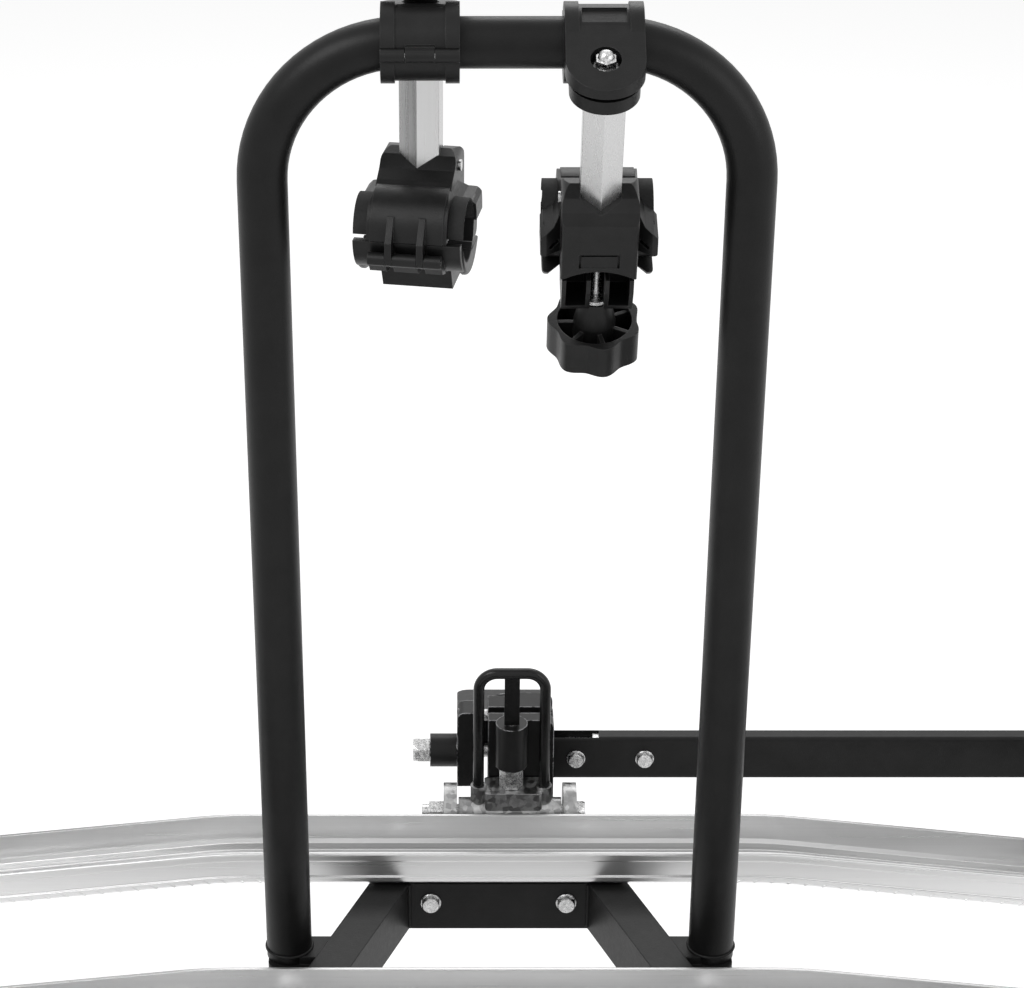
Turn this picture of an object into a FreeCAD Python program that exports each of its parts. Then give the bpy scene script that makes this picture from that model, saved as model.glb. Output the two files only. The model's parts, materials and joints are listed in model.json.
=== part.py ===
"""Towbar platform bike rack for two bicycles, in millimetres.

Frame: the origin is the centre of the tow ball. X points right when the rack is seen from
behind the car, Y points forward to the car and Z points up. The platform is mirrored about
the plane x = FRAME_X, which lies a little left of the ball.
"""
import FreeCAD, Part
import math
import os

V = FreeCAD.Vector
X_AXIS = V(1, 0, 0)
Y_AXIS = V(0, 1, 0)
Z_AXIS = V(0, 0, 1)

# Fits
FACE_GAP = 0.3            # between faces of pieces that move past each other
RUNNING_FIT = 0.05        # radial, a pin that turns in its hole
BOLT_HOLE_FIT = 0.2       # radial, a bolt through a plain hole

# Screws: nominal radius, head radius across corners and head height
M8_RADIUS = 4.0
M8_HEAD_RADIUS = 7.5
M8_HEAD_HEIGHT = 5.3
M10_RADIUS = 5.0
M10_HEAD_RADIUS = 9.8
M10_HEAD_HEIGHT = 6.4
M12_RADIUS = 6.0
M12_HEAD_RADIUS = 9.8
M12_HEAD_HEIGHT = 7.5

# Coupling on the tow ball
BALL_RADIUS = 25.0
SOCKET_RADIUS = BALL_RADIUS + FACE_GAP
JAW_LENGTH = 31.0         # half length of the cup along Y
JAW_BOTTOM = -12.0
JAW_TOP = 30.0
JAW_CORNER = 11.0
FIXED_JAW_SIDE = 36.4
CHEEK_CUP_SIDE = 34.0
CHEEK_PLATE_SIDE = 43.6
CHEEK_PLATE_THICKNESS = 14.0
CHEEK_TRAVEL = 6.0
BLOCK_LEFT = -18.0
BLOCK_BACK = -72.0
BLOCK_BOTTOM = -34.0
BLOCK_TOP = 45.0
TOWER_BACK = -48.0
TOWER_FRONT = -27.0
SCREW_Y = -36.0
SCREW_Z = -5.5
SCREW_LEFT = -78.0
SCREW_SHOULDER = 20.0
TONGUE_THICKNESS = 5.0
TONGUE_HEIGHT = 12.0
BOSS_RADIUS = 14.0
BOSS_LENGTH = 22.8
GUIDE_PIN_RADIUS = 5.0
GUIDE_PIN_Y = -38.0
GUIDE_PIN_Z = 30.0
TOWER_TOP = 37.5
CUP_SLOPE_START = 22.0     # cup top at the ball's centre
CUP_SLOPE_END = 14.0       # cup top at the front
NUT_LENGTH = 14.0
NUT_ACROSS_FLATS = 19.0

# Clamping lever
LEVER_PIN_X = 56.3
LEVER_Z = -9.4            # the lever's middle, a little under the screw's axis
LEVER_LENGTH = 435.0
LEVER_WIDTH = 15.0
LEVER_HEIGHT = 40.0
LEVER_WALL = 1.5
LEVER_OVERHANG = 19.4     # tube end past the pin
LEVER_SWING_ROOM = 28.4
LEVER_SLOT_WIDTH = 12.0
CAM_HIGH = 19.1
CAM_PLATE = 3.0
PAD_WIDTH = 11.4
PAD_BOTTOM = -21.4
PAD_TOP = 2.6
CAM_BAR_START = 14.0
CAM_BAR_END = 75.0
SECOND_BOLT_X = 57.8      # from the pin

# Latch and tilt pivot
LATCH_X = 1.0
LATCH_Y = -86.0
SLEEVE_RADIUS = 13.0
SLEEVE_BOTTOM = 11.0
SLEEVE_TOP = 51.0
PLUNGER_RADIUS = 5.0
COLLAR_ACROSS_FLATS = 17.0
BAIL_HALF_WIDTH = 27.1
BAIL_WIRE_RADIUS = 4.5
BAIL_Y = -90.0
BAIL_TOP = 100.0
BAIL_CORNER = 15.0
BAIL_LIFT = 12.0
PIVOT_Y = -90.0
PIVOT_Z = -32.0
BARREL_RADIUS = 12.0
BARREL_HALF_LENGTH = 42.5
EAR_INNER = 43.9
EAR_THICKNESS = 11.0
EAR_RADIUS = 24.0

# Platform frame
FRAME_X = -10.6
ARM_WIDTH = 30.0
ARM_TOP = -38.0
ARM_HEIGHT = 43.0
ARM_WALL = 2.5
ARM_ANGLE = 21.13         # between the arm and the Y axis
ARM_FRONT = -118.0
ARM_FRONT_HALF = 61.0     # arm centreline from the middle at its front end
REAR_BAR_FRONT = -425.0
REAR_BAR_SIZE = 30.0
REAR_BAR_LENGTH = 1000.0
BRACE_Y = -173.0
BRACE_WIDTH = 30.0
BRACE_BOLT_X = 54.5
BRACE_BOLT_Z = -56.0
BRACKET_PLATE = 6.0
BRACKET_HALF_WIDTH = 79.0

# Upright
UPRIGHT_Y = -268.0
UPRIGHT_TOP = 690.0       # axis of the top tube
TUBE_RADIUS = 17.5
TUBE_WALL = 2.0
BEND_RADIUS = 98.0
TOP_HALF_LENGTH = 69.5
FOOT_Z = -48.0
FOOT_HALF_WIDTH = 164.0
FOOT_PLATE = 6.0
FOOT_PLUG = 18.0
FOOT_HALF_DEPTH = 20.0

# Wheel rails
RAIL_FAR_Y = -162.0
RAIL_NEAR_Y = -374.0
RAIL_TOP = -7.0
RAIL_DEPTH = 29.0
RAIL_HALF_WIDTH = 30.0
RAIL_FLOOR = 2.0
RAIL_HALF_LENGTH = 650.0
RAIL_STRAIGHT = 200.0
RAIL_BEND_RADIUS = 400.0
RAIL_BEND_ANGLE = 6.3

# Wheel cups and straps, placed along the sloping tail of a rail
CUP_END_MARGIN = 31.0177   # from a cup to its rail's end
CUP_LENGTH = 150.0
CUP_HALF_WIDTH = 42.0
CUP_HEIGHT = 16.0
CUP_SKIRT = 12.0
CUP_TROUGH = 4.0          # lowest point of the trough below the rail's rim
WHEEL_RADIUS = 345.0
STRAP_WIDTH = 25.0
STRAP_THICKNESS = 2.5
STRAP_LEG = 18.5
BUCKLE_WIDTH = 32.0
BUCKLE_DEPTH = 12.0
BUCKLE_TOP = 30.0
BUCKLE_LEVER_LENGTH = 40.0
BUCKLE_LEVER_THICKNESS = 6.0

# Bike-frame arms
LEFT_ARM_X = -59.0        # from the middle of the upright
RIGHT_ARM_X = 63.4
RIGHT_ARM_TILT = 18.0
LEFT_ARM_SWIVEL = -10.0
CLAMP_WIDTH = 53.0
CLAMP_BORE = TUBE_RADIUS + FACE_GAP
CLAMP_RIB_RADIUS = 27.3
CLAMP_RIB_WIDTH = 9.5
CLAMP_SHELL_RADIUS = 25.5
CLAMP_SPLIT = 4.5
LOWER_TONGUE_INSET = 2.8
CLAMP_HINGE_OFFSET = 29.0
KNUCKLE_RADIUS = 4.6
ROD_OFFSET = 40.0
ROD_RADIUS = 4.0
TONGUE_BASE_HEIGHT = 18.0
TONGUE_TIP_HEIGHT = 9.5
NUT_RECESS = 10.4         # radius of the seat in the tongue, for a nut or for the knob's hub
KNOB_RECESS = 13.0
HEX_TUBE_FLATS = 28.0
HEX_TUBE_WALL = 2.0
HEX_TUBE_TOP = 8.0        # depths are measured down the arm from the top tube's axis
HEX_TUBE_BOTTOM = 112.0
JAW_TOP_DEPTH = 88.0
BIKE_HOLE_RADIUS = 22.5
BIKE_HOLE_OFFSET = -30.0  # from the rod, across the arm
BIKE_HOLE_DEPTH = 136.0
JAW_BAND_HALF_WIDTH = 26.5
JAW_WING_HALF_WIDTH = 40.5
JAW_WALL = 6.5
JAW_BAND_PROUD = 1.0
WING_RADIUS = 36.0        # the flared rim at each end of the jaw
WING_OFFSET = -17.0       # from the rod, across the arm
WING_THICKNESS = 4.0
WING_CUT = 18.0           # from the bike tube's axis to the bevel behind the wings
JAW_FRONT = 25.0
JAW_FRONT_BOTTOM = 154.0
JAW_ARCH_RISE = 8.0
JAW_HINGE_OFFSET = -64.0
JAW_HINGE_DROP = 12.0      # below the bike hole's axis
JAW_SPLIT_DROP = 1.0       # below the bike hole's axis
DOOR_SEAT_DEPTH = 187.0
WASHER_THICKNESS = 3.0
KNOB_RADIUS = 33.5
KNOB_HUB_LENGTH = 20.0
KNOB_RIM_HEIGHT = 26.0
KNOB_LOBES = 7

# Lamp board
PANEL_LENGTH = 1040.0
PANEL_HEIGHT = 134.0
PANEL_TOP = -51.0
PANEL_THICKNESS = 6.0
PANEL_RIM = 12.0
LAMP_LENGTH = 216.0
LAMP_HEIGHT = 108.0
LAMP_DEPTH = 45.0
LAMP_WALL = 2.5
LAMP_CENTRE = 402.0       # from the middle of the panel
AMBER_SHARE = 0.34
PLATE_LENGTH = 524.0
PLATE_HEIGHT = 114.0


def box(low_x, high_x, low_y, high_y, low_z, high_z):
    return Part.makeBox(high_x - low_x, high_y - low_y, high_z - low_z, V(low_x, low_y, low_z))


def rod(radius, start, end):
    return Part.makeCylinder(radius, (end - start).Length, start, end - start)


def polygon_face(points):
    return Part.Face(Part.makePolygon(points + [points[0]]))


def hex_prism(across_flats, start, end, first_corner):
    """A hexagonal bar from start to end with one corner towards first_corner."""
    direction = (end - start).normalize()
    reach = first_corner.normalize() * (across_flats / math.sqrt(3))
    corners = []
    for index in range(6):
        turn = FreeCAD.Rotation(direction, 60 * index)
        corners.append(start + turn.multVec(reach))
    return polygon_face(corners).extrude(end - start)


def joined(shapes):
    result = shapes[0].fuse(shapes[1:]) if len(shapes) > 1 else shapes[0]
    return result.removeSplitter()


def mirrored(shape):
    return shape.mirror(V(FRAME_X, 0, 0), X_AXIS)


def rounded(shape, radius, picks):
    """Fillet the straight edges that picks() accepts; it gets each edge's middle and direction."""
    chosen = []
    for edge in shape.Edges:
        if isinstance(edge.Curve, Part.Line):
            middle = edge.valueAt((edge.FirstParameter + edge.LastParameter) / 2)
            if picks(middle, edge.Curve.Direction):
                chosen.append(edge)
    return shape.makeFillet(radius, chosen)


def is_along(direction, axis):
    return abs(direction.dot(axis)) > 0.999


def save(node, solids):
    """Write one node; solids is one shape or a list of separate ones."""
    pieces = solids if isinstance(solids, list) else [solids]
    bodies = [solid for piece in pieces for solid in piece.Solids]
    shape = bodies[0] if len(bodies) == 1 else Part.makeCompound(bodies)
    shape.exportStep("parts/" + node + ".step")
    print(node, len(bodies), "solids", round(shape.Volume / 1000, 2), "cm3", shape.isValid())


def bolt(radius, head_radius, head_height, under_head, direction, length):
    """A hex bolt whose head lies behind under_head and whose shank runs along direction."""
    across_flats = head_radius * math.sqrt(3)
    along = V(direction)
    side = V(0, 0, 1) if abs(along.z) < 0.5 else V(1, 0, 0)
    head = hex_prism(across_flats, under_head - along * head_height, under_head, side)
    crown = Part.makeCone(head_radius * 0.8, head_radius * 1.25, head_height * 1.6,
                          under_head - along * head_height, along)
    shank = rod(radius, under_head, under_head + along * length)
    return joined([head.common(crown), shank])


def nut(radius, head_radius, height, face, direction):
    """A hex nut on the face, growing along direction, with a running bore."""
    across_flats = head_radius * math.sqrt(3)
    along = V(direction)
    side = V(0, 0, 1) if abs(along.z) < 0.5 else V(1, 0, 0)
    body = hex_prism(across_flats, face, face + along * height, side)
    return body.cut(rod(radius, face - along, face + along * (height + 1)))


# Coupling

LEVER_PIN = V(LEVER_PIN_X, SCREW_Y, LEVER_Z)
SCREW_RADIUS = M12_RADIUS
CAM_LOW = CAM_HIGH - CHEEK_TRAVEL
LATCH_LEGS = [LATCH_X - BAIL_HALF_WIDTH, LATCH_X + BAIL_HALF_WIDTH]


def ball_socket():
    """The room for the ball: a sphere, open along Y below its equator."""
    sphere = Part.makeSphere(SOCKET_RADIUS)
    channel = rod(SOCKET_RADIUS, V(0, -SOCKET_RADIUS, 0), V(0, SOCKET_RADIUS, 0))
    below = box(-JAW_LENGTH, JAW_LENGTH, -SOCKET_RADIUS, SOCKET_RADIUS, -2 * BALL_RADIUS, 0)
    return sphere.fuse(channel.common(below))


def above_cups():
    """What is cut off the cups' tops, which slope down to the front."""
    points = [V(-60, TOWER_FRONT + 0.01, 90), V(-60, TOWER_FRONT + 0.01, JAW_TOP), V(-60, 0, CUP_SLOPE_START),
              V(-60, JAW_LENGTH + 1, CUP_SLOPE_END), V(-60, JAW_LENGTH + 1, 90)]
    return polygon_face(points).extrude(X_AXIS * 120)


def lever_room():
    """What the lever's end sweeps as it swings up and moves in with the screw."""
    half = LEVER_WIDTH / 2 + 2 * FACE_GAP
    low_y = SCREW_Y - half
    high_y = SCREW_Y + half
    open_x = LEVER_PIN_X - CHEEK_TRAVEL
    closed = rod(LEVER_SWING_ROOM, V(LEVER_PIN_X, low_y, LEVER_Z), V(LEVER_PIN_X, high_y, LEVER_Z))
    opened = rod(LEVER_SWING_ROOM, V(open_x, low_y, LEVER_Z), V(open_x, high_y, LEVER_Z))
    between = box(open_x, LEVER_PIN_X, low_y, high_y, LEVER_Z - LEVER_SWING_ROOM,
                  LEVER_Z + LEVER_SWING_ROOM)
    upright_side = open_x - LEVER_HEIGHT / 2 - 2 * FACE_GAP
    above = box(upright_side, LEVER_PIN_X, low_y, high_y, LEVER_Z, BLOCK_TOP + 1)
    return joined([closed, opened, between, above])


def pressure_pad():
    """The rib in the lever's notch that the cams press on."""
    pad = box(SCREW_SHOULDER - 10, FIXED_JAW_SIDE, SCREW_Y - PAD_WIDTH / 2,
              SCREW_Y + PAD_WIDTH / 2, PAD_BOTTOM, PAD_TOP)
    return pad


def screw_passage():
    slot_half_width = TONGUE_THICKNESS / 2 + FACE_GAP
    slot_half_height = TONGUE_HEIGHT / 2 + FACE_GAP
    bore = rod(SCREW_RADIUS + FACE_GAP, V(BLOCK_LEFT - 1, SCREW_Y, SCREW_Z),
               V(SCREW_SHOULDER + 2 * FACE_GAP, SCREW_Y, SCREW_Z))
    slot_start = SCREW_SHOULDER - 1 - CHEEK_TRAVEL - FACE_GAP
    slot = box(slot_start, FIXED_JAW_SIDE + 1, SCREW_Y - slot_half_width,
               SCREW_Y + slot_half_width, SCREW_Z - slot_half_height, SCREW_Z + slot_half_height)
    return bore.fuse(slot)


def latch_sleeve():
    sleeve = rod(SLEEVE_RADIUS, V(LATCH_X, LATCH_Y, SLEEVE_BOTTOM), V(LATCH_X, LATCH_Y, SLEEVE_TOP))
    web = box(LATCH_X - 7, LATCH_X + 7, LATCH_Y + 8, BLOCK_BACK + 2, SLEEVE_BOTTOM, SLEEVE_TOP)
    bore = rod(PLUNGER_RADIUS + RUNNING_FIT, V(LATCH_X, LATCH_Y, SLEEVE_BOTTOM - 1),
               V(LATCH_X, LATCH_Y, SLEEVE_TOP + 1))
    collar_radius = COLLAR_ACROSS_FLATS / math.sqrt(3) + FACE_GAP
    collar_room = rod(collar_radius, V(LATCH_X, LATCH_Y, SLEEVE_BOTTOM - 1),
                      V(LATCH_X, LATCH_Y, SLEEVE_BOTTOM + BAIL_LIFT + 1.5))
    return sleeve.fuse(web), bore.fuse(collar_room)


def make_coupling_body():
    cup = box(FACE_GAP, FIXED_JAW_SIDE, -JAW_LENGTH, JAW_LENGTH, JAW_BOTTOM, JAW_TOP)
    cup = rounded(cup, JAW_CORNER, lambda middle, direction: is_along(direction, Z_AXIS)
                  and middle.x > 1 and middle.y > 0)
    front_of_block = -JAW_LENGTH - 2 * FACE_GAP
    block = box(BLOCK_LEFT, FIXED_JAW_SIDE, BLOCK_BACK, front_of_block, BLOCK_BOTTOM, BLOCK_TOP)
    shoulder = box(FACE_GAP, FIXED_JAW_SIDE, front_of_block - 1, TOWER_FRONT + 1, BLOCK_BOTTOM,
                   BLOCK_TOP)
    body = joined([cup, block, shoulder])
    top_corner = rounded(body, 8.0, lambda middle, direction: is_along(direction, Y_AXIS)
                         and middle.z > BLOCK_TOP - 1 and middle.x > FIXED_JAW_SIDE - 1)
    groove = box(BLOCK_LEFT - 1, FIXED_JAW_SIDE + 1, -60, -50, BLOCK_TOP - 6, BLOCK_TOP + 1)
    notch = lever_room().cut(pressure_pad())
    sleeve, sleeve_bore = latch_sleeve()
    body = top_corner.cut([groove, notch, ball_socket(), screw_passage(), above_cups()])
    body = body.fuse(sleeve).cut(sleeve_bore)
    pin_hole = rod(GUIDE_PIN_RADIUS, V(BLOCK_LEFT - 1, GUIDE_PIN_Y, GUIDE_PIN_Z),
                   V(SCREW_SHOULDER, GUIDE_PIN_Y, GUIDE_PIN_Z))
    return body.cut(pin_hole).removeSplitter()


def make_guide_pin():
    """A dowel pressed into the fixed jaw, which keeps the sliding cheek square."""
    left = 2.0 - CHEEK_PLATE_SIDE
    pin = rod(GUIDE_PIN_RADIUS, V(left + 1, GUIDE_PIN_Y, GUIDE_PIN_Z),
              V(SCREW_SHOULDER, GUIDE_PIN_Y, GUIDE_PIN_Z))
    tip = Part.makeCone(GUIDE_PIN_RADIUS - 1, GUIDE_PIN_RADIUS, 1,
                        V(left, GUIDE_PIN_Y, GUIDE_PIN_Z), X_AXIS)
    return joined([pin, tip])


def make_ball_cheek():
    cup = box(-CHEEK_CUP_SIDE, -FACE_GAP, -JAW_LENGTH, JAW_LENGTH, JAW_BOTTOM, JAW_TOP)
    cup = rounded(cup, JAW_CORNER, lambda middle, direction: is_along(direction, Z_AXIS)
                  and middle.x < -2 and middle.y > 0)
    plate_right = CHEEK_PLATE_THICKNESS - CHEEK_PLATE_SIDE
    plate = box(-CHEEK_PLATE_SIDE, plate_right, TOWER_BACK, JAW_LENGTH, BLOCK_BOTTOM, JAW_TOP)
    plate = rounded(plate, JAW_CORNER, lambda middle, direction: is_along(direction, Z_AXIS)
                    and middle.x < -CHEEK_PLATE_SIDE + 1 and middle.y > 0)
    tower = box(-CHEEK_PLATE_SIDE, plate_right, TOWER_BACK, TOWER_FRONT, JAW_TOP - 5, TOWER_TOP)
    tower = rounded(tower, 6.0, lambda middle, direction: is_along(direction, Y_AXIS)
                    and middle.z > TOWER_TOP - 1 and middle.x < -CHEEK_PLATE_SIDE + 1)
    boss = rod(BOSS_RADIUS, V(-CHEEK_PLATE_SIDE - BOSS_LENGTH, SCREW_Y, SCREW_Z),
               V(-CHEEK_PLATE_SIDE, SCREW_Y, SCREW_Z))
    body = joined([cup, plate, tower, boss])
    screw_hole = rod(SCREW_RADIUS + RUNNING_FIT,
                     V(-CHEEK_PLATE_SIDE - BOSS_LENGTH - 1, SCREW_Y, SCREW_Z),
                     V(plate_right + 1, SCREW_Y, SCREW_Z))
    guide_hole = rod(GUIDE_PIN_RADIUS + RUNNING_FIT, V(-CHEEK_PLATE_SIDE - 1, GUIDE_PIN_Y, GUIDE_PIN_Z),
                     V(plate_right + 1, GUIDE_PIN_Y, GUIDE_PIN_Z))
    screw_room = rod(SCREW_RADIUS + FACE_GAP, V(plate_right, SCREW_Y, SCREW_Z), V(1, SCREW_Y, SCREW_Z))
    return body.cut([ball_socket(), screw_hole, screw_room, guide_hole, above_cups()]).removeSplitter()


def make_clamp_screw():
    """The draw screw with its flat tongue and eye, which the lever's pin goes through."""
    shank = rod(SCREW_RADIUS, V(SCREW_LEFT, SCREW_Y, SCREW_Z), V(SCREW_SHOULDER, SCREW_Y, SCREW_Z))
    half = TONGUE_THICKNESS / 2
    tongue = box(SCREW_SHOULDER - 1, LEVER_PIN_X, SCREW_Y - half, SCREW_Y + half,
                 SCREW_Z - TONGUE_HEIGHT / 2, SCREW_Z + TONGUE_HEIGHT / 2)
    eye_radius = M8_RADIUS + 5
    eye = rod(eye_radius, LEVER_PIN - Y_AXIS * half, LEVER_PIN + Y_AXIS * half)
    pin_hole = rod(M8_RADIUS + RUNNING_FIT, LEVER_PIN - Y_AXIS * 5, LEVER_PIN + Y_AXIS * 5)
    return joined([shank, tongue, eye]).cut(pin_hole)


def make_adjusting_nut():
    left = -CHEEK_PLATE_SIDE - BOSS_LENGTH - FACE_GAP - NUT_LENGTH
    start = V(left, SCREW_Y, SCREW_Z)
    end = V(left + NUT_LENGTH, SCREW_Y, SCREW_Z)
    body = hex_prism(NUT_ACROSS_FLATS, start, end, V(0, 0, 1))
    bevel = Part.makeCone(NUT_ACROSS_FLATS * 0.48, NUT_ACROSS_FLATS * 0.75, NUT_LENGTH, start, X_AXIS)
    bore = rod(SCREW_RADIUS + RUNNING_FIT, start - X_AXIS, end + X_AXIS)
    return body.common(bevel).cut(bore)


# Clamping lever

LEVER_START = LEVER_PIN_X - LEVER_OVERHANG
LEVER_END = LEVER_START + LEVER_LENGTH + LEVER_OVERHANG
LEVER_BOLTS = [LEVER_PIN, LEVER_PIN + X_AXIS * SECOND_BOLT_X]


def lever_box(start, end, shrink):
    half_y = LEVER_WIDTH / 2 - shrink
    half_z = LEVER_HEIGHT / 2 - shrink
    return box(start, end, SCREW_Y - half_y, SCREW_Y + half_y, LEVER_Z - half_z, LEVER_Z + half_z)


def make_lever_tube():
    outer = rounded(lever_box(LEVER_START, LEVER_END, 0), 3.0,
                    lambda middle, direction: is_along(direction, X_AXIS))
    inner = rounded(lever_box(LEVER_START - 1, LEVER_END + 1, LEVER_WALL), 1.5,
                    lambda middle, direction: is_along(direction, X_AXIS))
    slot_end = LEVER_PIN_X + LEVER_OVERHANG - FACE_GAP
    slot = box(LEVER_START - 1, slot_end, SCREW_Y - LEVER_SLOT_WIDTH / 2,
               SCREW_Y + LEVER_SLOT_WIDTH / 2, LEVER_Z, LEVER_Z + LEVER_HEIGHT)
    holes = []
    for centre in LEVER_BOLTS:
        holes.append(rod(M8_RADIUS + RUNNING_FIT, centre - Y_AXIS * LEVER_WIDTH,
                         centre + Y_AXIS * LEVER_WIDTH))
    return outer.cut([inner, slot] + holes)


def cam_profile(low_y):
    """One cam plate: its rim drops evenly from CAM_HIGH at the pad to CAM_LOW a quarter turn up."""
    points = []
    steps = 12
    for index in range(steps + 1):
        share = index / steps
        angle = math.radians(180 - 95 * share)
        reach = CAM_HIGH - (CAM_HIGH - CAM_LOW) * min(1.0, share * 95 / 90)
        points.append(LEVER_PIN + V(reach * math.cos(angle), 0, reach * math.sin(angle)))
    rim = Part.BSplineCurve()
    rim.interpolate(points)
    bar_top = V(LEVER_PIN_X + CAM_BAR_START + 2, SCREW_Y, LEVER_Z + CAM_LOW)
    bar_low = V(LEVER_PIN_X + CAM_BAR_START + 2, SCREW_Y, LEVER_Z - CAM_LOW)
    low_left = LEVER_PIN + V(-CAM_LOW, 0, -CAM_LOW)
    edges = [rim.toShape()]
    corners = [points[-1], bar_top, bar_low, low_left, points[0]]
    for start, end in zip(corners, corners[1:]):
        edges.append(Part.makeLine(start, end))
    face = Part.Face(Part.Wire(edges))
    face.translate(V(0, low_y - SCREW_Y, 0))
    return face.extrude(Y_AXIS * CAM_PLATE)


def make_lever_cam():
    """Two cam plates on one bar that fills the lever's end."""
    near = cam_profile(SCREW_Y - PAD_WIDTH / 2)
    far = cam_profile(SCREW_Y + PAD_WIDTH / 2 - CAM_PLATE)
    half_z = LEVER_HEIGHT / 2 - LEVER_WALL - 4 * FACE_GAP
    bar = box(LEVER_PIN_X + CAM_BAR_START, LEVER_PIN_X + CAM_BAR_END, SCREW_Y - PAD_WIDTH / 2,
              SCREW_Y + PAD_WIDTH / 2, LEVER_Z - half_z, LEVER_Z + half_z)
    holes = []
    for centre in LEVER_BOLTS:
        holes.append(rod(M8_RADIUS + RUNNING_FIT, centre - Y_AXIS * LEVER_WIDTH,
                         centre + Y_AXIS * LEVER_WIDTH))
    return joined([near, far, bar]).cut(holes)


def make_lever_bolts():
    solids = []
    for centre in LEVER_BOLTS:
        head_face = V(centre.x, SCREW_Y - LEVER_WIDTH / 2, centre.z)
        nut_face = V(centre.x, SCREW_Y + LEVER_WIDTH / 2, centre.z)
        solids.append(bolt(M8_RADIUS, M8_HEAD_RADIUS, M8_HEAD_HEIGHT, head_face, Y_AXIS,
                           LEVER_WIDTH + M8_HEAD_HEIGHT + 2))
        solids.append(nut(M8_RADIUS + RUNNING_FIT, M8_HEAD_RADIUS, M8_HEAD_HEIGHT, nut_face, Y_AXIS))
    return solids


def make_lever_end_cap():
    lip = rounded(lever_box(LEVER_END, LEVER_END + 4, 0), 3.0,
                  lambda middle, direction: is_along(direction, X_AXIS))
    plug = lever_box(LEVER_END - 15, LEVER_END, LEVER_WALL + RUNNING_FIT)
    plug = rounded(plug, 1.5, lambda middle, direction: is_along(direction, X_AXIS))
    return joined([lip, plug])


# Latch and tilt pivot

PIVOT = V(0, PIVOT_Y, PIVOT_Z)
CUP_RADIUS = BAIL_WIRE_RADIUS + 2
CUP_TOP = BLOCK_BOTTOM + 28
BAIL_FOOT = PIVOT_Z + 8.5


def make_coupling_yoke():
    """The galvanised casting under the coupling: tilt barrel, latch block and bail guides."""
    barrel = rod(BARREL_RADIUS, PIVOT - X_AXIS * BARREL_HALF_LENGTH,
                 PIVOT + X_AXIS * BARREL_HALF_LENGTH)
    block = box(-21, 26.6, LATCH_Y - 14, LATCH_Y + 13, PIVOT_Z + 6, PIVOT_Z + 23)
    block = rounded(block, 3.0, lambda middle, direction: is_along(direction, Z_AXIS))
    plate = box(BLOCK_LEFT, BLOCK_LEFT + 52, PIVOT_Y - 5, -30, BLOCK_BOTTOM - 6, BLOCK_BOTTOM)
    pieces = [barrel, block, plate]
    holes = []
    for leg_x in LATCH_LEGS:
        pieces.append(rod(CUP_RADIUS, V(leg_x, BAIL_Y, PIVOT_Z), V(leg_x, BAIL_Y, CUP_TOP)))
        holes.append(rod(BAIL_WIRE_RADIUS + RUNNING_FIT * 3, V(leg_x, BAIL_Y, BAIL_FOOT - FACE_GAP),
                         V(leg_x, BAIL_Y, CUP_TOP + 1)))
    holes.append(rod(M12_RADIUS + RUNNING_FIT, PIVOT - X_AXIS * 60, PIVOT + X_AXIS * 60))
    holes.append(rod(PLUNGER_RADIUS + FACE_GAP, V(LATCH_X, LATCH_Y, -15), V(LATCH_X, LATCH_Y, 0)))
    return joined(pieces).cut(holes)


def make_release_bail():
    """The bent wire handle with the strip that carries the latch plunger."""
    left, right = LATCH_LEGS
    corner_z = BAIL_TOP - BAIL_CORNER
    left_leg = rod(BAIL_WIRE_RADIUS, V(left, BAIL_Y, BAIL_FOOT), V(left, BAIL_Y, corner_z))
    right_leg = rod(BAIL_WIRE_RADIUS, V(right, BAIL_Y, BAIL_FOOT), V(right, BAIL_Y, corner_z))
    bar = rod(BAIL_WIRE_RADIUS, V(left + BAIL_CORNER, BAIL_Y, BAIL_TOP),
              V(right - BAIL_CORNER, BAIL_Y, BAIL_TOP))
    pieces = [left_leg, right_leg, bar]
    for leg_x, turn in ((left, 90), (right, -90)):
        section = Part.Face(Part.Wire(Part.makeCircle(BAIL_WIRE_RADIUS, V(leg_x, BAIL_Y, corner_z), Z_AXIS)))
        inward = BAIL_CORNER if leg_x == left else -BAIL_CORNER
        pieces.append(section.revolve(V(leg_x + inward, BAIL_Y, corner_z), Y_AXIS, turn))
    strip_low = SLEEVE_TOP + 1.5
    strip = box(LATCH_X - 6.2, LATCH_X + 6.2, BAIL_Y - 2, BAIL_Y + 2, strip_low, BAIL_TOP)
    wire = joined(pieces + [strip])
    plunger_hole = rod(PLUNGER_RADIUS, V(LATCH_X, LATCH_Y, 0), V(LATCH_X, LATCH_Y, SLEEVE_TOP + 11))
    return wire.cut(plunger_hole)


def make_latch_plunger():
    stem = rod(PLUNGER_RADIUS, V(LATCH_X, LATCH_Y, -14), V(LATCH_X, LATCH_Y, SLEEVE_TOP + 11))
    collar = hex_prism(COLLAR_ACROSS_FLATS, V(LATCH_X, LATCH_Y, PIVOT_Z + 23 + FACE_GAP),
                       V(LATCH_X, LATCH_Y, SLEEVE_BOTTOM - FACE_GAP), X_AXIS)
    return joined([stem, collar])


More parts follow.
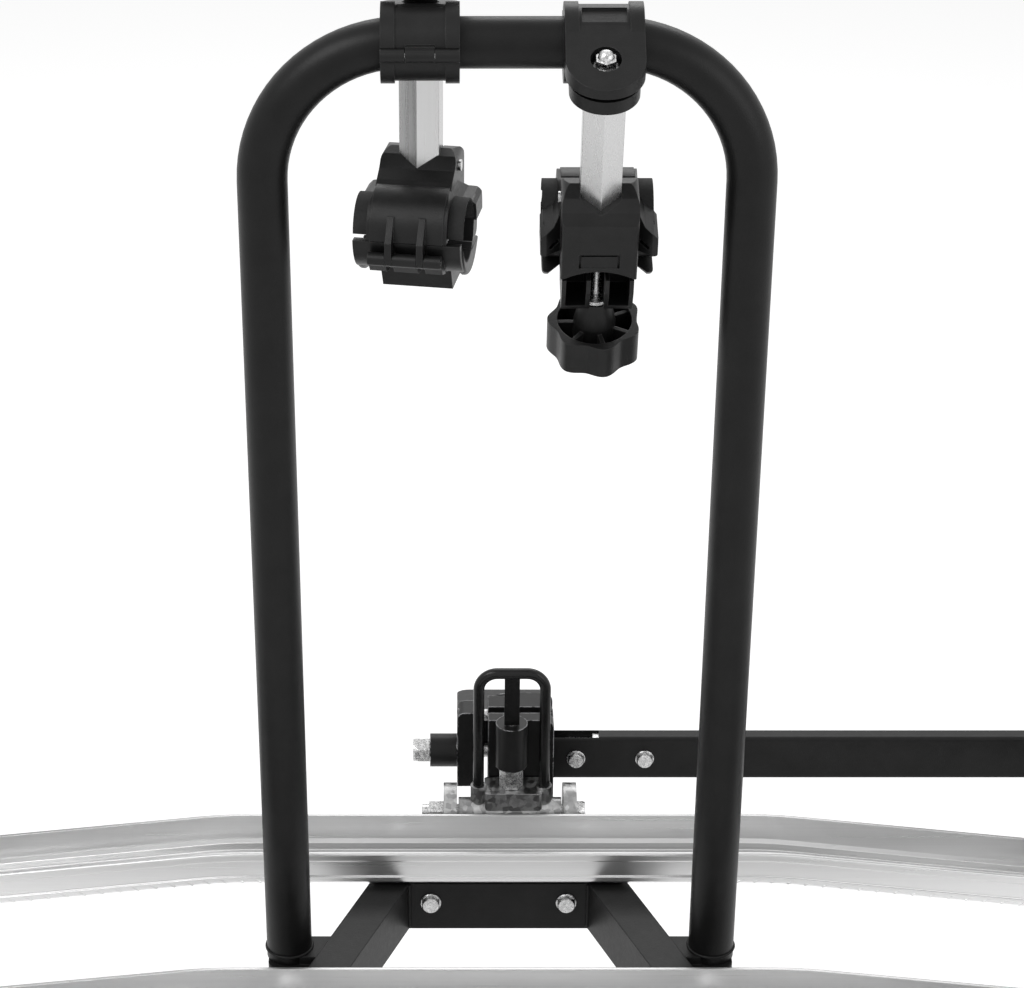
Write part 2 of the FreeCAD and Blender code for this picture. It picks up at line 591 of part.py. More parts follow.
def make_tilt_bracket():
    """The galvanised fork of the platform, welded across the front ends of the two arms."""
    low_z = ARM_TOP - ARM_HEIGHT
    back = box(FRAME_X - BRACKET_HALF_WIDTH, FRAME_X + BRACKET_HALF_WIDTH, ARM_FRONT,
               ARM_FRONT + BRACKET_PLATE, low_z, PIVOT_Z + 2)
    outer = EAR_INNER + EAR_THICKNESS
    base = box(-outer, outer, ARM_FRONT, PIVOT_Y, PIVOT_Z - 34, PIVOT_Z - 28)
    pieces = [back, base]
    for side in (-1, 1):
        inner_x = side * EAR_INNER
        outer_x = side * outer
        low_x = min(inner_x, outer_x)
        high_x = max(inner_x, outer_x)
        disc = rod(EAR_RADIUS, V(low_x, PIVOT_Y, PIVOT_Z), V(high_x, PIVOT_Y, PIVOT_Z))
        disc = disc.common(box(low_x, high_x, ARM_FRONT, 0, -100, 0))
        root = box(low_x, high_x, ARM_FRONT, PIVOT_Y, PIVOT_Z - 34, PIVOT_Z)
        pieces += [disc, root]
    bore = rod(M12_RADIUS + RUNNING_FIT, PIVOT - X_AXIS * 80, PIVOT + X_AXIS * 80)
    return joined(pieces).cut(bore)


def make_tilt_bolt():
    outer = EAR_INNER + EAR_THICKNESS
    head_face = PIVOT + X_AXIS * outer
    nut_face = PIVOT - X_AXIS * outer
    nut_height = 12.0
    through = bolt(M12_RADIUS, M12_HEAD_RADIUS, M12_HEAD_HEIGHT, head_face, -X_AXIS,
                   2 * outer + nut_height + 6)
    return [through, nut(M12_RADIUS + RUNNING_FIT, M12_HEAD_RADIUS, nut_height, nut_face, -X_AXIS)]


# Platform frame

ARM_SLOPE = math.tan(math.radians(ARM_ANGLE))
ARM_HALF = ARM_WIDTH / 2 / math.cos(math.radians(ARM_ANGLE))
ARM_BOTTOM = ARM_TOP - ARM_HEIGHT
BRACE_BACK = BRACE_Y - BRACE_WIDTH / 2
RAIL_BOTTOM = RAIL_TOP - RAIL_DEPTH
RAIL_ROWS = [RAIL_FAR_Y, RAIL_NEAR_Y]


def arm_x(y):
    """The right arm's centreline at y."""
    return FRAME_X + ARM_FRONT_HALF + (ARM_FRONT - y) * ARM_SLOPE


def arm_prism(half_width, front, back, low_z, high_z):
    points = [V(arm_x(front) - half_width, front, low_z), V(arm_x(front) + half_width, front, low_z),
              V(arm_x(back) + half_width, back, low_z), V(arm_x(back) - half_width, back, low_z)]
    return polygon_face(points).extrude(Z_AXIS * (high_z - low_z))


def rail_bolt_places():
    return [(arm_x(y), y) for y in RAIL_ROWS]


def make_frame_arms():
    outer = arm_prism(ARM_HALF, ARM_FRONT, REAR_BAR_FRONT, ARM_BOTTOM, ARM_TOP)
    inner_half = ARM_HALF - ARM_WALL / math.cos(math.radians(ARM_ANGLE))
    inner = arm_prism(inner_half, ARM_FRONT + 1, REAR_BAR_FRONT - 1, ARM_BOTTOM + ARM_WALL,
                      ARM_TOP - ARM_WALL)
    holes = []
    for x, y in rail_bolt_places():
        holes.append(rod(M8_RADIUS + BOLT_HOLE_FIT, V(x, y, ARM_BOTTOM - 1), V(x, y, ARM_TOP + 1)))
    right = outer.cut([inner] + holes)
    return [right, mirrored(right)]


def make_cross_brace():
    """A box tube coped to the arms' inner sides."""
    front = BRACE_BACK + BRACE_WIDTH
    front_x = arm_x(front) - ARM_HALF
    back_x = arm_x(BRACE_BACK) - ARM_HALF
    points = [V(front_x, front, ARM_BOTTOM), V(back_x, BRACE_BACK, ARM_BOTTOM),
              V(2 * FRAME_X - back_x, BRACE_BACK, ARM_BOTTOM),
              V(2 * FRAME_X - front_x, front, ARM_BOTTOM)]
    outer = polygon_face(points).extrude(Z_AXIS * ARM_HEIGHT)
    inner = box(FRAME_X - 200, FRAME_X + 200, BRACE_BACK + ARM_WALL, front - ARM_WALL,
                ARM_BOTTOM + ARM_WALL, ARM_TOP - ARM_WALL)
    holes = []
    for side in (-1, 1):
        x = FRAME_X + side * BRACE_BOLT_X
        holes.append(rod(M8_RADIUS + RUNNING_FIT, V(x, BRACE_BACK - 1, BRACE_BOLT_Z),
                         V(x, BRACE_BACK + ARM_WALL + 1, BRACE_BOLT_Z)))
    return outer.cut([inner] + holes)


def make_brace_bolts():
    """Two bolts that thread into the brace's back wall and end inside the tube."""
    solids = []
    for side in (-1, 1):
        head_face = V(FRAME_X + side * BRACE_BOLT_X, BRACE_BACK, BRACE_BOLT_Z)
        solids.append(bolt(M8_RADIUS, M8_HEAD_RADIUS + 0.5, M8_HEAD_HEIGHT, head_face, Y_AXIS,
                           BRACE_WIDTH - 3))
    return solids


def make_rear_bar():
    half = REAR_BAR_LENGTH / 2
    back = REAR_BAR_FRONT - REAR_BAR_SIZE
    top = ARM_BOTTOM + REAR_BAR_SIZE
    outer = box(FRAME_X - half, FRAME_X + half, back, REAR_BAR_FRONT, ARM_BOTTOM, top)
    outer = rounded(outer, 3.0, lambda middle, direction: is_along(direction, X_AXIS))
    inner = box(FRAME_X - half - 1, FRAME_X + half + 1, back + ARM_WALL, REAR_BAR_FRONT - ARM_WALL,
                ARM_BOTTOM + ARM_WALL, top - ARM_WALL)
    return outer.cut(inner)


def make_tube_plugs():
    """Plastic plugs in the two ends of the rear bar."""
    half = REAR_BAR_LENGTH / 2
    back = REAR_BAR_FRONT - REAR_BAR_SIZE
    inset = ARM_WALL + RUNNING_FIT
    plug = box(FRAME_X + half - 15, FRAME_X + half, back + inset, REAR_BAR_FRONT - inset,
               ARM_BOTTOM + inset, ARM_BOTTOM + REAR_BAR_SIZE - inset)
    lip = box(FRAME_X + half, FRAME_X + half + 3, back, REAR_BAR_FRONT, ARM_BOTTOM,
              ARM_BOTTOM + REAR_BAR_SIZE)
    right = joined([plug, lip])
    return [right, mirrored(right)]


# Upright

LEG_LEAN = math.atan((TOP_HALF_LENGTH + BEND_RADIUS - FOOT_HALF_WIDTH)
                     / (UPRIGHT_TOP - BEND_RADIUS - FOOT_Z))
BEND_CENTRE = V(FRAME_X + TOP_HALF_LENGTH, UPRIGHT_Y, UPRIGHT_TOP - BEND_RADIUS)
FOOT_X = FRAME_X + FOOT_HALF_WIDTH


def half_u(radius, foot_z):
    """The right half of a round bar bent to the upright's shape, whose leg ends at foot_z."""
    top = rod(radius, V(FRAME_X, UPRIGHT_Y, UPRIGHT_TOP), V(BEND_CENTRE.x, UPRIGHT_Y, UPRIGHT_TOP))
    end_circle = Part.makeCircle(radius, V(BEND_CENTRE.x, UPRIGHT_Y, UPRIGHT_TOP), X_AXIS)
    bend = Part.Face(Part.Wire(end_circle)).revolve(BEND_CENTRE, Y_AXIS, 90 + math.degrees(LEG_LEAN))
    leg_start = BEND_CENTRE + V(math.cos(LEG_LEAN), 0, -math.sin(LEG_LEAN)) * BEND_RADIUS
    leg_direction = V(-math.sin(LEG_LEAN), 0, -math.cos(LEG_LEAN))
    leg_length = (leg_start.z - foot_z) / math.cos(LEG_LEAN) + radius
    leg = rod(radius, leg_start, leg_start + leg_direction * leg_length)
    leg = leg.cut(box(FOOT_X - 60, FOOT_X + 60, UPRIGHT_Y - 60, UPRIGHT_Y + 60, foot_z - 60, foot_z))
    return top.fuse([bend, leg])


def make_u_frame():
    """The bent tube, closed at each foot by a plug that takes the foot bolt."""
    outer = half_u(TUBE_RADIUS, FOOT_Z)
    inner = half_u(TUBE_RADIUS - TUBE_WALL, FOOT_Z + FOOT_PLUG)
    hole = rod(M10_RADIUS + RUNNING_FIT, V(FOOT_X, UPRIGHT_Y, FOOT_Z - 1),
               V(FOOT_X, UPRIGHT_Y, FOOT_Z + FOOT_PLUG + 1))
    half = outer.cut([inner, hole])
    return half.fuse(mirrored(half))


def make_foot_brackets():
    """A plate under each leg and an upright ear, both welded to the arm's outer side."""
    front = UPRIGHT_Y + FOOT_HALF_DEPTH
    back = UPRIGHT_Y - FOOT_HALF_DEPTH
    outer_x = FOOT_X + TUBE_RADIUS - 1.5
    low_z = FOOT_Z - FOOT_PLATE
    points = [V(arm_x(front) + ARM_HALF, front, low_z), V(outer_x, front, low_z),
              V(outer_x, back, low_z), V(arm_x(back) + ARM_HALF, back, low_z)]
    plate = polygon_face(points).extrude(Z_AXIS * FOOT_PLATE)
    plate = rounded(plate, 8.0, lambda middle, direction: is_along(direction, Z_AXIS)
                    and middle.x > outer_x - 1)
    ear_z = ARM_TOP - 3
    tube_room = Part.makeCylinder(TUBE_RADIUS + 0.5, 60, V(FOOT_X, UPRIGHT_Y, FOOT_Z))
    ear_points = [V(arm_x(UPRIGHT_Y + 12) + ARM_HALF, UPRIGHT_Y + 12, FOOT_Z),
                  V(FOOT_X, UPRIGHT_Y + 12, FOOT_Z), V(FOOT_X, UPRIGHT_Y - 16, FOOT_Z),
                  V(arm_x(UPRIGHT_Y - 16) + ARM_HALF, UPRIGHT_Y - 16, FOOT_Z)]
    ear = polygon_face(ear_points).extrude(Z_AXIS * (ear_z - FOOT_Z)).cut(tube_room)
    hole = rod(M10_RADIUS + BOLT_HOLE_FIT, V(FOOT_X, UPRIGHT_Y, low_z - 1),
               V(FOOT_X, UPRIGHT_Y, FOOT_Z + 1))
    right = joined([plate] + ear.Solids).cut(hole)
    return [right, mirrored(right)]


def make_foot_bolts():
    under = V(FOOT_X, UPRIGHT_Y, FOOT_Z - FOOT_PLATE)
    right = bolt(M10_RADIUS, M10_HEAD_RADIUS, M10_HEAD_HEIGHT, under, Z_AXIS, FOOT_PLATE + 17)
    return [right, mirrored(right)]


# Wheel rails

BEND_SHIFT = math.radians(RAIL_BEND_ANGLE)
TAIL_LENGTH = RAIL_HALF_LENGTH - RAIL_STRAIGHT - RAIL_BEND_RADIUS * BEND_SHIFT
CUP_START = TAIL_LENGTH - CUP_END_MARGIN - CUP_LENGTH


def rail_section(x, y):
    """The channel's section: thick at the rim and the foot, recessed between them."""
    half = RAIL_HALF_WIDTH
    inner = half - 3.5
    recess = half - 1.2
    low = RAIL_BOTTOM
    outer_points = [V(x, y + inner, RAIL_TOP), V(x, y + half - 1.2, RAIL_TOP),
                    V(x, y + half, RAIL_TOP - 1.2), V(x, y + half, RAIL_TOP - 6.5),
                    V(x, y + recess, RAIL_TOP - 8), V(x, y + recess, low + 8),
                    V(x, y + half, low + 6.5), V(x, y + half, low + 3), V(x, y + half - 3, low)]
    corner = 5.0
    floor = low + RAIL_FLOOR
    inner_points = [V(x, y + inner, floor + corner), V(x, y + inner - corner * 0.3, floor + corner * 0.3),
                    V(x, y + inner - corner, floor)]
    points = outer_points
    points += [V(x, 2 * y - point.y, point.z) for point in reversed(outer_points)]
    points += [V(x, 2 * y - point.y, point.z) for point in inner_points]
    points += list(reversed(inner_points))
    return polygon_face(points)


def tail_frame(y):
    """Placement of a point given as distance along the right tail, y and height above the rim."""
    bend_x = FRAME_X + RAIL_STRAIGHT + RAIL_BEND_RADIUS * math.sin(BEND_SHIFT)
    bend_z = RAIL_TOP - RAIL_BEND_RADIUS * (1 - math.cos(BEND_SHIFT))
    return FreeCAD.Placement(V(bend_x, y, bend_z), FreeCAD.Rotation(Y_AXIS, RAIL_BEND_ANGLE))


def make_rail(y):
    middle = rail_section(FRAME_X, y).extrude(X_AXIS * RAIL_STRAIGHT)
    bend_x = FRAME_X + RAIL_STRAIGHT
    pivot = V(bend_x, y, RAIL_TOP - RAIL_BEND_RADIUS)
    bend = rail_section(bend_x, y).revolve(pivot, Y_AXIS, RAIL_BEND_ANGLE)
    tail = rail_section(0, 0)
    tail.translate(V(0, 0, -RAIL_TOP))
    tail = tail.extrude(X_AXIS * TAIL_LENGTH)
    tail.Placement = tail_frame(y).multiply(tail.Placement)
    half = joined([middle, bend, tail])
    holes = []
    for side in (-1, 1):
        x = FRAME_X + side * (arm_x(y) - FRAME_X)
        holes.append(rod(M8_RADIUS + BOLT_HOLE_FIT, V(x, y, RAIL_BOTTOM - 1), V(x, y, RAIL_BOTTOM + 5)))
    return joined([half, mirrored(half)]).cut(holes)


def make_rail_pads():
    solids = []
    for x, y in rail_bolt_places():
        pad = arm_prism(ARM_HALF - 2, y + 20, y - 20, ARM_TOP, RAIL_BOTTOM)
        right = pad.cut(rod(M8_RADIUS + BOLT_HOLE_FIT, V(x, y, ARM_TOP - 1), V(x, y, RAIL_BOTTOM + 1)))
        solids += [right, mirrored(right)]
    return solids


def make_rail_bolts():
    """Dome-headed bolts from each rail's floor through the arm to a nut below."""
    solids = []
    floor = RAIL_BOTTOM + RAIL_FLOOR
    for x, y in rail_bolt_places():
        head_radius = 10.0
        dome = Part.makeSphere(head_radius * 1.4, V(x, y, floor - head_radius))
        head = dome.common(rod(head_radius, V(x, y, floor), V(x, y, floor + 6)))
        shank = rod(M8_RADIUS, V(x, y, ARM_BOTTOM - M8_HEAD_HEIGHT - 2), V(x, y, floor + 1))
        right = joined([head, shank])
        right_nut = nut(M8_RADIUS + RUNNING_FIT, M8_HEAD_RADIUS, M8_HEAD_HEIGHT,
                        V(x, y, ARM_BOTTOM), -Z_AXIS)
        solids += [right, mirrored(right), right_nut, mirrored(right_nut)]
    return solids


def make_rail_end_caps():
    solids = []
    half = RAIL_HALF_WIDTH
    for y in RAIL_ROWS:
        plate = box(TAIL_LENGTH, TAIL_LENGTH + 4, -half, half, -RAIL_DEPTH, 0)
        plug_half = half - 3.5 - FACE_GAP
        plug = box(TAIL_LENGTH - 18, TAIL_LENGTH, -plug_half, plug_half, -RAIL_DEPTH + 8, -2)
        hollow = box(TAIL_LENGTH - 19, TAIL_LENGTH, 3 - plug_half, plug_half - 3, -RAIL_DEPTH + 11, 0)
        cap = joined([plate, plug.cut(hollow)])
        cap.Placement = tail_frame(y)
        solids += [cap, mirrored(cap)]
    return solids


# Wheel cups, straps and buckles

CUP_CENTRE = CUP_START + CUP_LENGTH / 2
STRAP_INNER = CUP_HALF_WIDTH + FACE_GAP
STRAP_OUTER = STRAP_INNER + STRAP_THICKNESS
BUCKLE_BACK = STRAP_OUTER + FACE_GAP
BUCKLE_LEVER_BACK = BUCKLE_BACK + BUCKLE_DEPTH - BUCKLE_LEVER_THICKNESS
BUCKLE_HINGE_Y = BUCKLE_BACK + BUCKLE_DEPTH - 4
BUCKLE_HINGE_Z = BUCKLE_TOP - 5
CORNERS = [(RAIL_FAR_Y, 1, 1), (RAIL_FAR_Y, 1, -1), (RAIL_NEAR_Y, -1, 1), (RAIL_NEAR_Y, -1, -1)]


def on_tail(shape, row_y, outward, side):
    """Set a shape made beside the +Y side of a tail on one of the four rail tails."""
    if outward < 0:
        shape = shape.mirror(V(0, 0, 0), Y_AXIS)
    shape.Placement = tail_frame(row_y).multiply(shape.Placement)
    return shape if side > 0 else mirrored(shape)


def cup_shape():
    half = CUP_HALF_WIDTH
    inner = RAIL_HALF_WIDTH - 3.5 - FACE_GAP
    outer = RAIL_HALF_WIDTH + FACE_GAP
    top = CUP_HEIGHT
    right = [(24, 6), (34.5, top), (half - 4, top), (half, top - 6), (half, -CUP_SKIRT),
             (outer, -CUP_SKIRT), (outer, 0), (inner, 0), (inner, -CUP_TROUGH - 3)]
    left = [(-y, z) for y, z in reversed(right)]
    points = [V(CUP_START, y, z) for y, z in right + left]
    block = polygon_face(points).extrude(X_AXIS * CUP_LENGTH)
    block = rounded(block, 6.0, lambda middle, direction: is_along(direction, Z_AXIS)
                    and abs(middle.y) > half - 1)
    centre = V(CUP_CENTRE, 0, WHEEL_RADIUS - CUP_TROUGH)
    wheel = rod(WHEEL_RADIUS, centre - Y_AXIS * 24, centre + Y_AXIS * 24)
    return block.cut(wheel)


def strap_shape():
    """The ratchet strap's arch over the wheel, with a bar under the cup's inner skirt."""
    low = -CUP_SKIRT + FACE_GAP
    start_x = CUP_CENTRE - STRAP_WIDTH / 2
    outer = rod(STRAP_OUTER, V(start_x, 0, STRAP_LEG), V(start_x + STRAP_WIDTH, 0, STRAP_LEG))
    inner = rod(STRAP_INNER, V(start_x, 0, STRAP_LEG), V(start_x + STRAP_WIDTH, 0, STRAP_LEG))
    above = box(start_x, start_x + STRAP_WIDTH, -60, 60, STRAP_LEG, STRAP_LEG + 60)
    arch = outer.cut(inner).common(above)
    pieces = [arch]
    for side in (-1, 1):
        near = min(side * STRAP_INNER, side * STRAP_OUTER)
        pieces.append(box(start_x, start_x + STRAP_WIDTH, near, near + STRAP_THICKNESS, low, STRAP_LEG))
    hook_y = -STRAP_OUTER
    pieces.append(box(start_x, start_x + STRAP_WIDTH, hook_y, hook_y + 8, low - 3.3, low - FACE_GAP))
    pieces.append(box(start_x, start_x + STRAP_WIDTH, hook_y, hook_y + STRAP_THICKNESS, low - 3.3, low))
    return joined(pieces)


def buckle_shape():
    """The ratchet housing: it hooks under the skirt, holds the strap and carries the lever."""
    half = BUCKLE_WIDTH / 2
    low = -CUP_SKIRT - 5
    end_y = BUCKLE_BACK + BUCKLE_DEPTH
    body = box(CUP_CENTRE - half, CUP_CENTRE + half, BUCKLE_BACK, end_y, low, BUCKLE_TOP)
    hook = box(CUP_CENTRE - half, CUP_CENTRE + half, CUP_HALF_WIDTH - 8, end_y, low, -CUP_SKIRT)
    lever_room = box(CUP_CENTRE - half + 3, CUP_CENTRE + half - 3,
                     BUCKLE_LEVER_BACK - FACE_GAP - 2, end_y + 1, low + 3, BUCKLE_TOP + 1)
    axle_hole = rod(2.0 + RUNNING_FIT, V(CUP_CENTRE - half - 1, BUCKLE_HINGE_Y, BUCKLE_HINGE_Z),
                    V(CUP_CENTRE + half + 1, BUCKLE_HINGE_Y, BUCKLE_HINGE_Z))
    return joined([body, hook]).cut([lever_room, axle_hole])


def buckle_lever_shape():
    half = BUCKLE_WIDTH / 2 - 3 - FACE_GAP
    low = BUCKLE_HINGE_Z - BUCKLE_LEVER_LENGTH
    thumb = box(CUP_CENTRE - half, CUP_CENTRE + half, BUCKLE_LEVER_BACK,
                BUCKLE_LEVER_BACK + BUCKLE_LEVER_THICKNESS, low + 2, BUCKLE_HINGE_Z)
    barrel = rod(4.0, V(CUP_CENTRE - half, BUCKLE_HINGE_Y, BUCKLE_HINGE_Z),
                 V(CUP_CENTRE + half, BUCKLE_HINGE_Y, BUCKLE_HINGE_Z))
    axle_half = BUCKLE_WIDTH / 2
    axle = rod(2.0, V(CUP_CENTRE - axle_half, BUCKLE_HINGE_Y, BUCKLE_HINGE_Z),
               V(CUP_CENTRE + axle_half, BUCKLE_HINGE_Y, BUCKLE_HINGE_Z))
    return joined([thumb, barrel, axle])


# Bike-frame arms, made about the top tube's axis with the tongue towards +Y and the arm down

TONGUE_END = ROD_OFFSET + CLAMP_WIDTH / 2
CLAMP_HALF = CLAMP_WIDTH / 2
KNUCKLE_WIDTH = 19.5
HEX_CORNER = HEX_TUBE_FLATS / math.sqrt(3)
ROD_AXIS_TOP = V(0, ROD_OFFSET, 0)
HINGE_Y = ROD_OFFSET + JAW_HINGE_OFFSET
HINGE_Z = -(BIKE_HOLE_DEPTH + JAW_HINGE_DROP)
JAW_SPLIT_DEPTH = BIKE_HOLE_DEPTH + JAW_SPLIT_DROP
HOLE_Y = ROD_OFFSET + BIKE_HOLE_OFFSET
HOLE_Z = -BIKE_HOLE_DEPTH
JAW_OUTER_RADIUS = BIKE_HOLE_RADIUS + JAW_WALL
FRONT_Y = ROD_OFFSET + JAW_FRONT
SEAT_Z = -DOOR_SEAT_DEPTH
KNOB_SEAT_Z = TONGUE_TIP_HEIGHT - 1 + WASHER_THICKNESS
FOOT_POCKET = 11.0
RIB_PLACES = [-11.0, 11.0]
RIB_HALF = 2.3


def bore_with_flare(outer_side):
    """The clamp's bore; it opens towards the side where the upright's bend begins."""
    start = -CLAMP_HALF - 1
    bore = rod(CLAMP_BORE, V(start, 0, 0), V(CLAMP_HALF + 1, 0, 0))
    flare_length = abs(LEFT_ARM_X) + CLAMP_HALF - TOP_HALF_LENGTH + 1
    flare = Part.makeCone(CLAMP_BORE, CLAMP_BORE + 2.8, flare_length,
                          V(outer_side * (CLAMP_HALF + 1 - flare_length), 0, 0), X_AXIS * outer_side)
    return bore.fuse(flare)


def clamp_shell(upper, outer_side, recess_radius):
    """Half of the clamp round the top tube: shell, end ribs and the tongue for the rod."""
    shell = rod(CLAMP_SHELL_RADIUS, V(-CLAMP_HALF, 0, 0), V(CLAMP_HALF, 0, 0))
    pieces = [shell]
    for low_x in (-CLAMP_HALF, CLAMP_HALF - CLAMP_RIB_WIDTH):
        pieces.append(rod(CLAMP_RIB_RADIUS, V(low_x, 0, 0), V(low_x + CLAMP_RIB_WIDTH, 0, 0)))
    half_gap = CLAMP_SPLIT / 2
    tongue_half = CLAMP_HALF if upper else CLAMP_HALF - LOWER_TONGUE_INSET
    stadium = joined([rod(tongue_half, V(0, ROD_OFFSET, -40), V(0, ROD_OFFSET, 40)),
                      box(-tongue_half, tongue_half, 10, ROD_OFFSET, -40, 40)])
    if upper:
        side_points = [V(-50, 10, 0), V(-50, TONGUE_END + 1, 0), V(-50, TONGUE_END + 1, TONGUE_TIP_HEIGHT),
                       V(-50, 30, TONGUE_BASE_HEIGHT), V(-50, 10, TONGUE_BASE_HEIGHT + 5)]
        slab = box(-60, 60, -60, 90, half_gap, 60)
    else:
        side_points = [V(-50, 10, 0), V(-50, TONGUE_END + 1, 0), V(-50, TONGUE_END + 1, -12.25),
                       V(-50, 20, -12.25), V(-50, 10, -20)]
        slab = box(-60, 60, -60, 90, -60, -half_gap)
    wedge = polygon_face(side_points).extrude(X_AXIS * 100)
    pieces.append(stadium.common(wedge))
    hinge_room = rod(KNUCKLE_RADIUS + FACE_GAP, V(-60, -CLAMP_HINGE_OFFSET, 0),
                     V(60, -CLAMP_HINGE_OFFSET, 0))
    body = joined(pieces).common(slab).cut(hinge_room)
    if upper:
        window = box(-CLAMP_HALF + CLAMP_RIB_WIDTH + 2, CLAMP_HALF - CLAMP_RIB_WIDTH - 2, -4, 12,
                     CLAMP_SHELL_RADIUS - 2.0, 40)
        body = body.cut(window)
        body = body.fuse(knuckle(0, half_gap))
    else:
        for side in (-1, 1):
            body = body.fuse(knuckle(side, half_gap))
    pin_hole = rod(2.0, V(-60, -CLAMP_HINGE_OFFSET, 0), V(60, -CLAMP_HINGE_OFFSET, 0))
    rod_hole = rod(ROD_RADIUS + BOLT_HOLE_FIT, V(0, ROD_OFFSET, -40), V(0, ROD_OFFSET, 40))
    body = body.cut([bore_with_flare(outer_side), pin_hole, rod_hole])
    if upper:
        recess = rod(recess_radius, V(0, ROD_OFFSET, TONGUE_TIP_HEIGHT - 1), V(0, ROD_OFFSET, 40))
        return body.cut(recess).removeSplitter()
    socket = rod(HEX_CORNER + FACE_GAP, V(0, ROD_OFFSET, -HEX_TUBE_TOP + FACE_GAP),
                 V(0, ROD_OFFSET, -20))
    return body.cut(socket).removeSplitter()


def knuckle(place, half_gap):
    """The middle knuckle (place 0) of the upper shell or a side one of the lower shell."""
    if place == 0:
        low_x = -KNUCKLE_WIDTH / 2
        high_x = KNUCKLE_WIDTH / 2
        web_low = 0
        web_high = half_gap + 4
    else:
        near = KNUCKLE_WIDTH / 2 + 0.4
        low_x = near if place > 0 else -CLAMP_HALF
        high_x = CLAMP_HALF if place > 0 else -near
        web_low = -half_gap - 4
        web_high = 0
    barrel = rod(KNUCKLE_RADIUS, V(low_x, -CLAMP_HINGE_OFFSET, 0), V(high_x, -CLAMP_HINGE_OFFSET, 0))
    web = box(low_x, high_x, -CLAMP_HINGE_OFFSET, -CLAMP_SHELL_RADIUS + 6, web_low, web_high)
    return barrel.fuse(web)


def make_clamp_hinge_pin():
    return rod(2.0 - RUNNING_FIT, V(-CLAMP_HALF, -CLAMP_HINGE_OFFSET, 0),
               V(CLAMP_HALF, -CLAMP_HINGE_OFFSET, 0))


def make_top_knob_rod():
    """The left arm's rod: its nut sits in the door's foot and the knob turns on its upper end."""
    nut_top = -(DOOR_SEAT_DEPTH - FOOT_POCKET) - FACE_GAP
    shank = rod(ROD_RADIUS, V(0, ROD_OFFSET, nut_top - 9), V(0, ROD_OFFSET, KNOB_SEAT_Z + 38))
    washer = rod(8.4, V(0, ROD_OFFSET, nut_top - 1.6), V(0, ROD_OFFSET, nut_top))
    hexagon = hex_prism(13, V(0, ROD_OFFSET, nut_top - 8), V(0, ROD_OFFSET, nut_top - 1.6), V(0, -1, 0))
    return joined([shank, washer, hexagon])


def make_arm_rod():
    """The right arm's rod and, on the upper tongue, its washer and domed nut."""
    seat = TONGUE_TIP_HEIGHT - 1
    end_depth = DOOR_SEAT_DEPTH + 38
    shank = rod(ROD_RADIUS, V(0, ROD_OFFSET, -end_depth), V(0, ROD_OFFSET, seat + 12))
    washer = rod(8.4, V(0, ROD_OFFSET, seat), V(0, ROD_OFFSET, seat + 1.6))
    hexagon = hex_prism(13, V(0, ROD_OFFSET, seat + 1.6), V(0, ROD_OFFSET, seat + 8), V(0, -1, 0))
    dome = Part.makeSphere(5.6, V(0, ROD_OFFSET, seat + 8))
    dome = dome.common(box(-20, 20, ROD_OFFSET - 20, ROD_OFFSET + 20, seat + 8, seat + 30))
    return joined([shank, washer, hexagon, dome])


def make_hex_tube():
    top = V(0, ROD_OFFSET, -HEX_TUBE_TOP)
    bottom = V(0, ROD_OFFSET, -HEX_TUBE_BOTTOM)
    outer = hex_prism(HEX_TUBE_FLATS, bottom, top, Y_AXIS * 1)
    inner = hex_prism(HEX_TUBE_FLATS - 2 * HEX_TUBE_WALL, bottom - Z_AXIS, top + Z_AXIS, Y_AXIS * 1)
    return outer.cut(inner)


def band_profile():
    """The jaw's middle band seen along the bike tube, as offset from the rod and depth."""
    top = JAW_TOP_DEPTH
    ring_top = BIKE_HOLE_DEPTH - JAW_OUTER_RADIUS
    return [(JAW_FRONT, JAW_FRONT_BOTTOM), (JAW_FRONT, top + 18), (JAW_FRONT - 4, top + 9),
            (JAW_FRONT - 12, top + 3), (0, top), (-9, top + 3), (-17, top + 11), (-26, ring_top - 3),
            (BIKE_HOLE_OFFSET, ring_top), (BIKE_HOLE_OFFSET, JAW_SPLIT_DEPTH),
            (BIKE_HOLE_OFFSET + 8, JAW_FRONT_BOTTOM)]


def flared_ring(half_width):
    """The ring round the bike tube: plain in the middle, flared to a rounded rim at each end."""
    rim_y = ROD_OFFSET + WING_OFFSET
    neck = JAW_BAND_HALF_WIDTH - 2
    flare = half_width - WING_THICKNESS - neck
    pieces = [rod(JAW_OUTER_RADIUS, V(-half_width + 1, HOLE_Y, HOLE_Z), V(half_width - 1, HOLE_Y, HOLE_Z))]
    for side in (-1, 1):
        rim = rod(WING_RADIUS, V(side * (neck + flare), rim_y, HOLE_Z), V(side * half_width, rim_y, HOLE_Z))
        outer = [edge for edge in rim.Edges if isinstance(edge.Curve, Part.Circle)
                 and abs(edge.Vertexes[0].Point.x) > half_width - 1]
        pieces.append(rim.makeFillet(2.5, outer))
        pieces.append(Part.makeCone(JAW_OUTER_RADIUS - 1, WING_RADIUS, flare,
                                    V(side * neck, rim_y, HOLE_Z), X_AXIS * side))
    return joined(pieces)


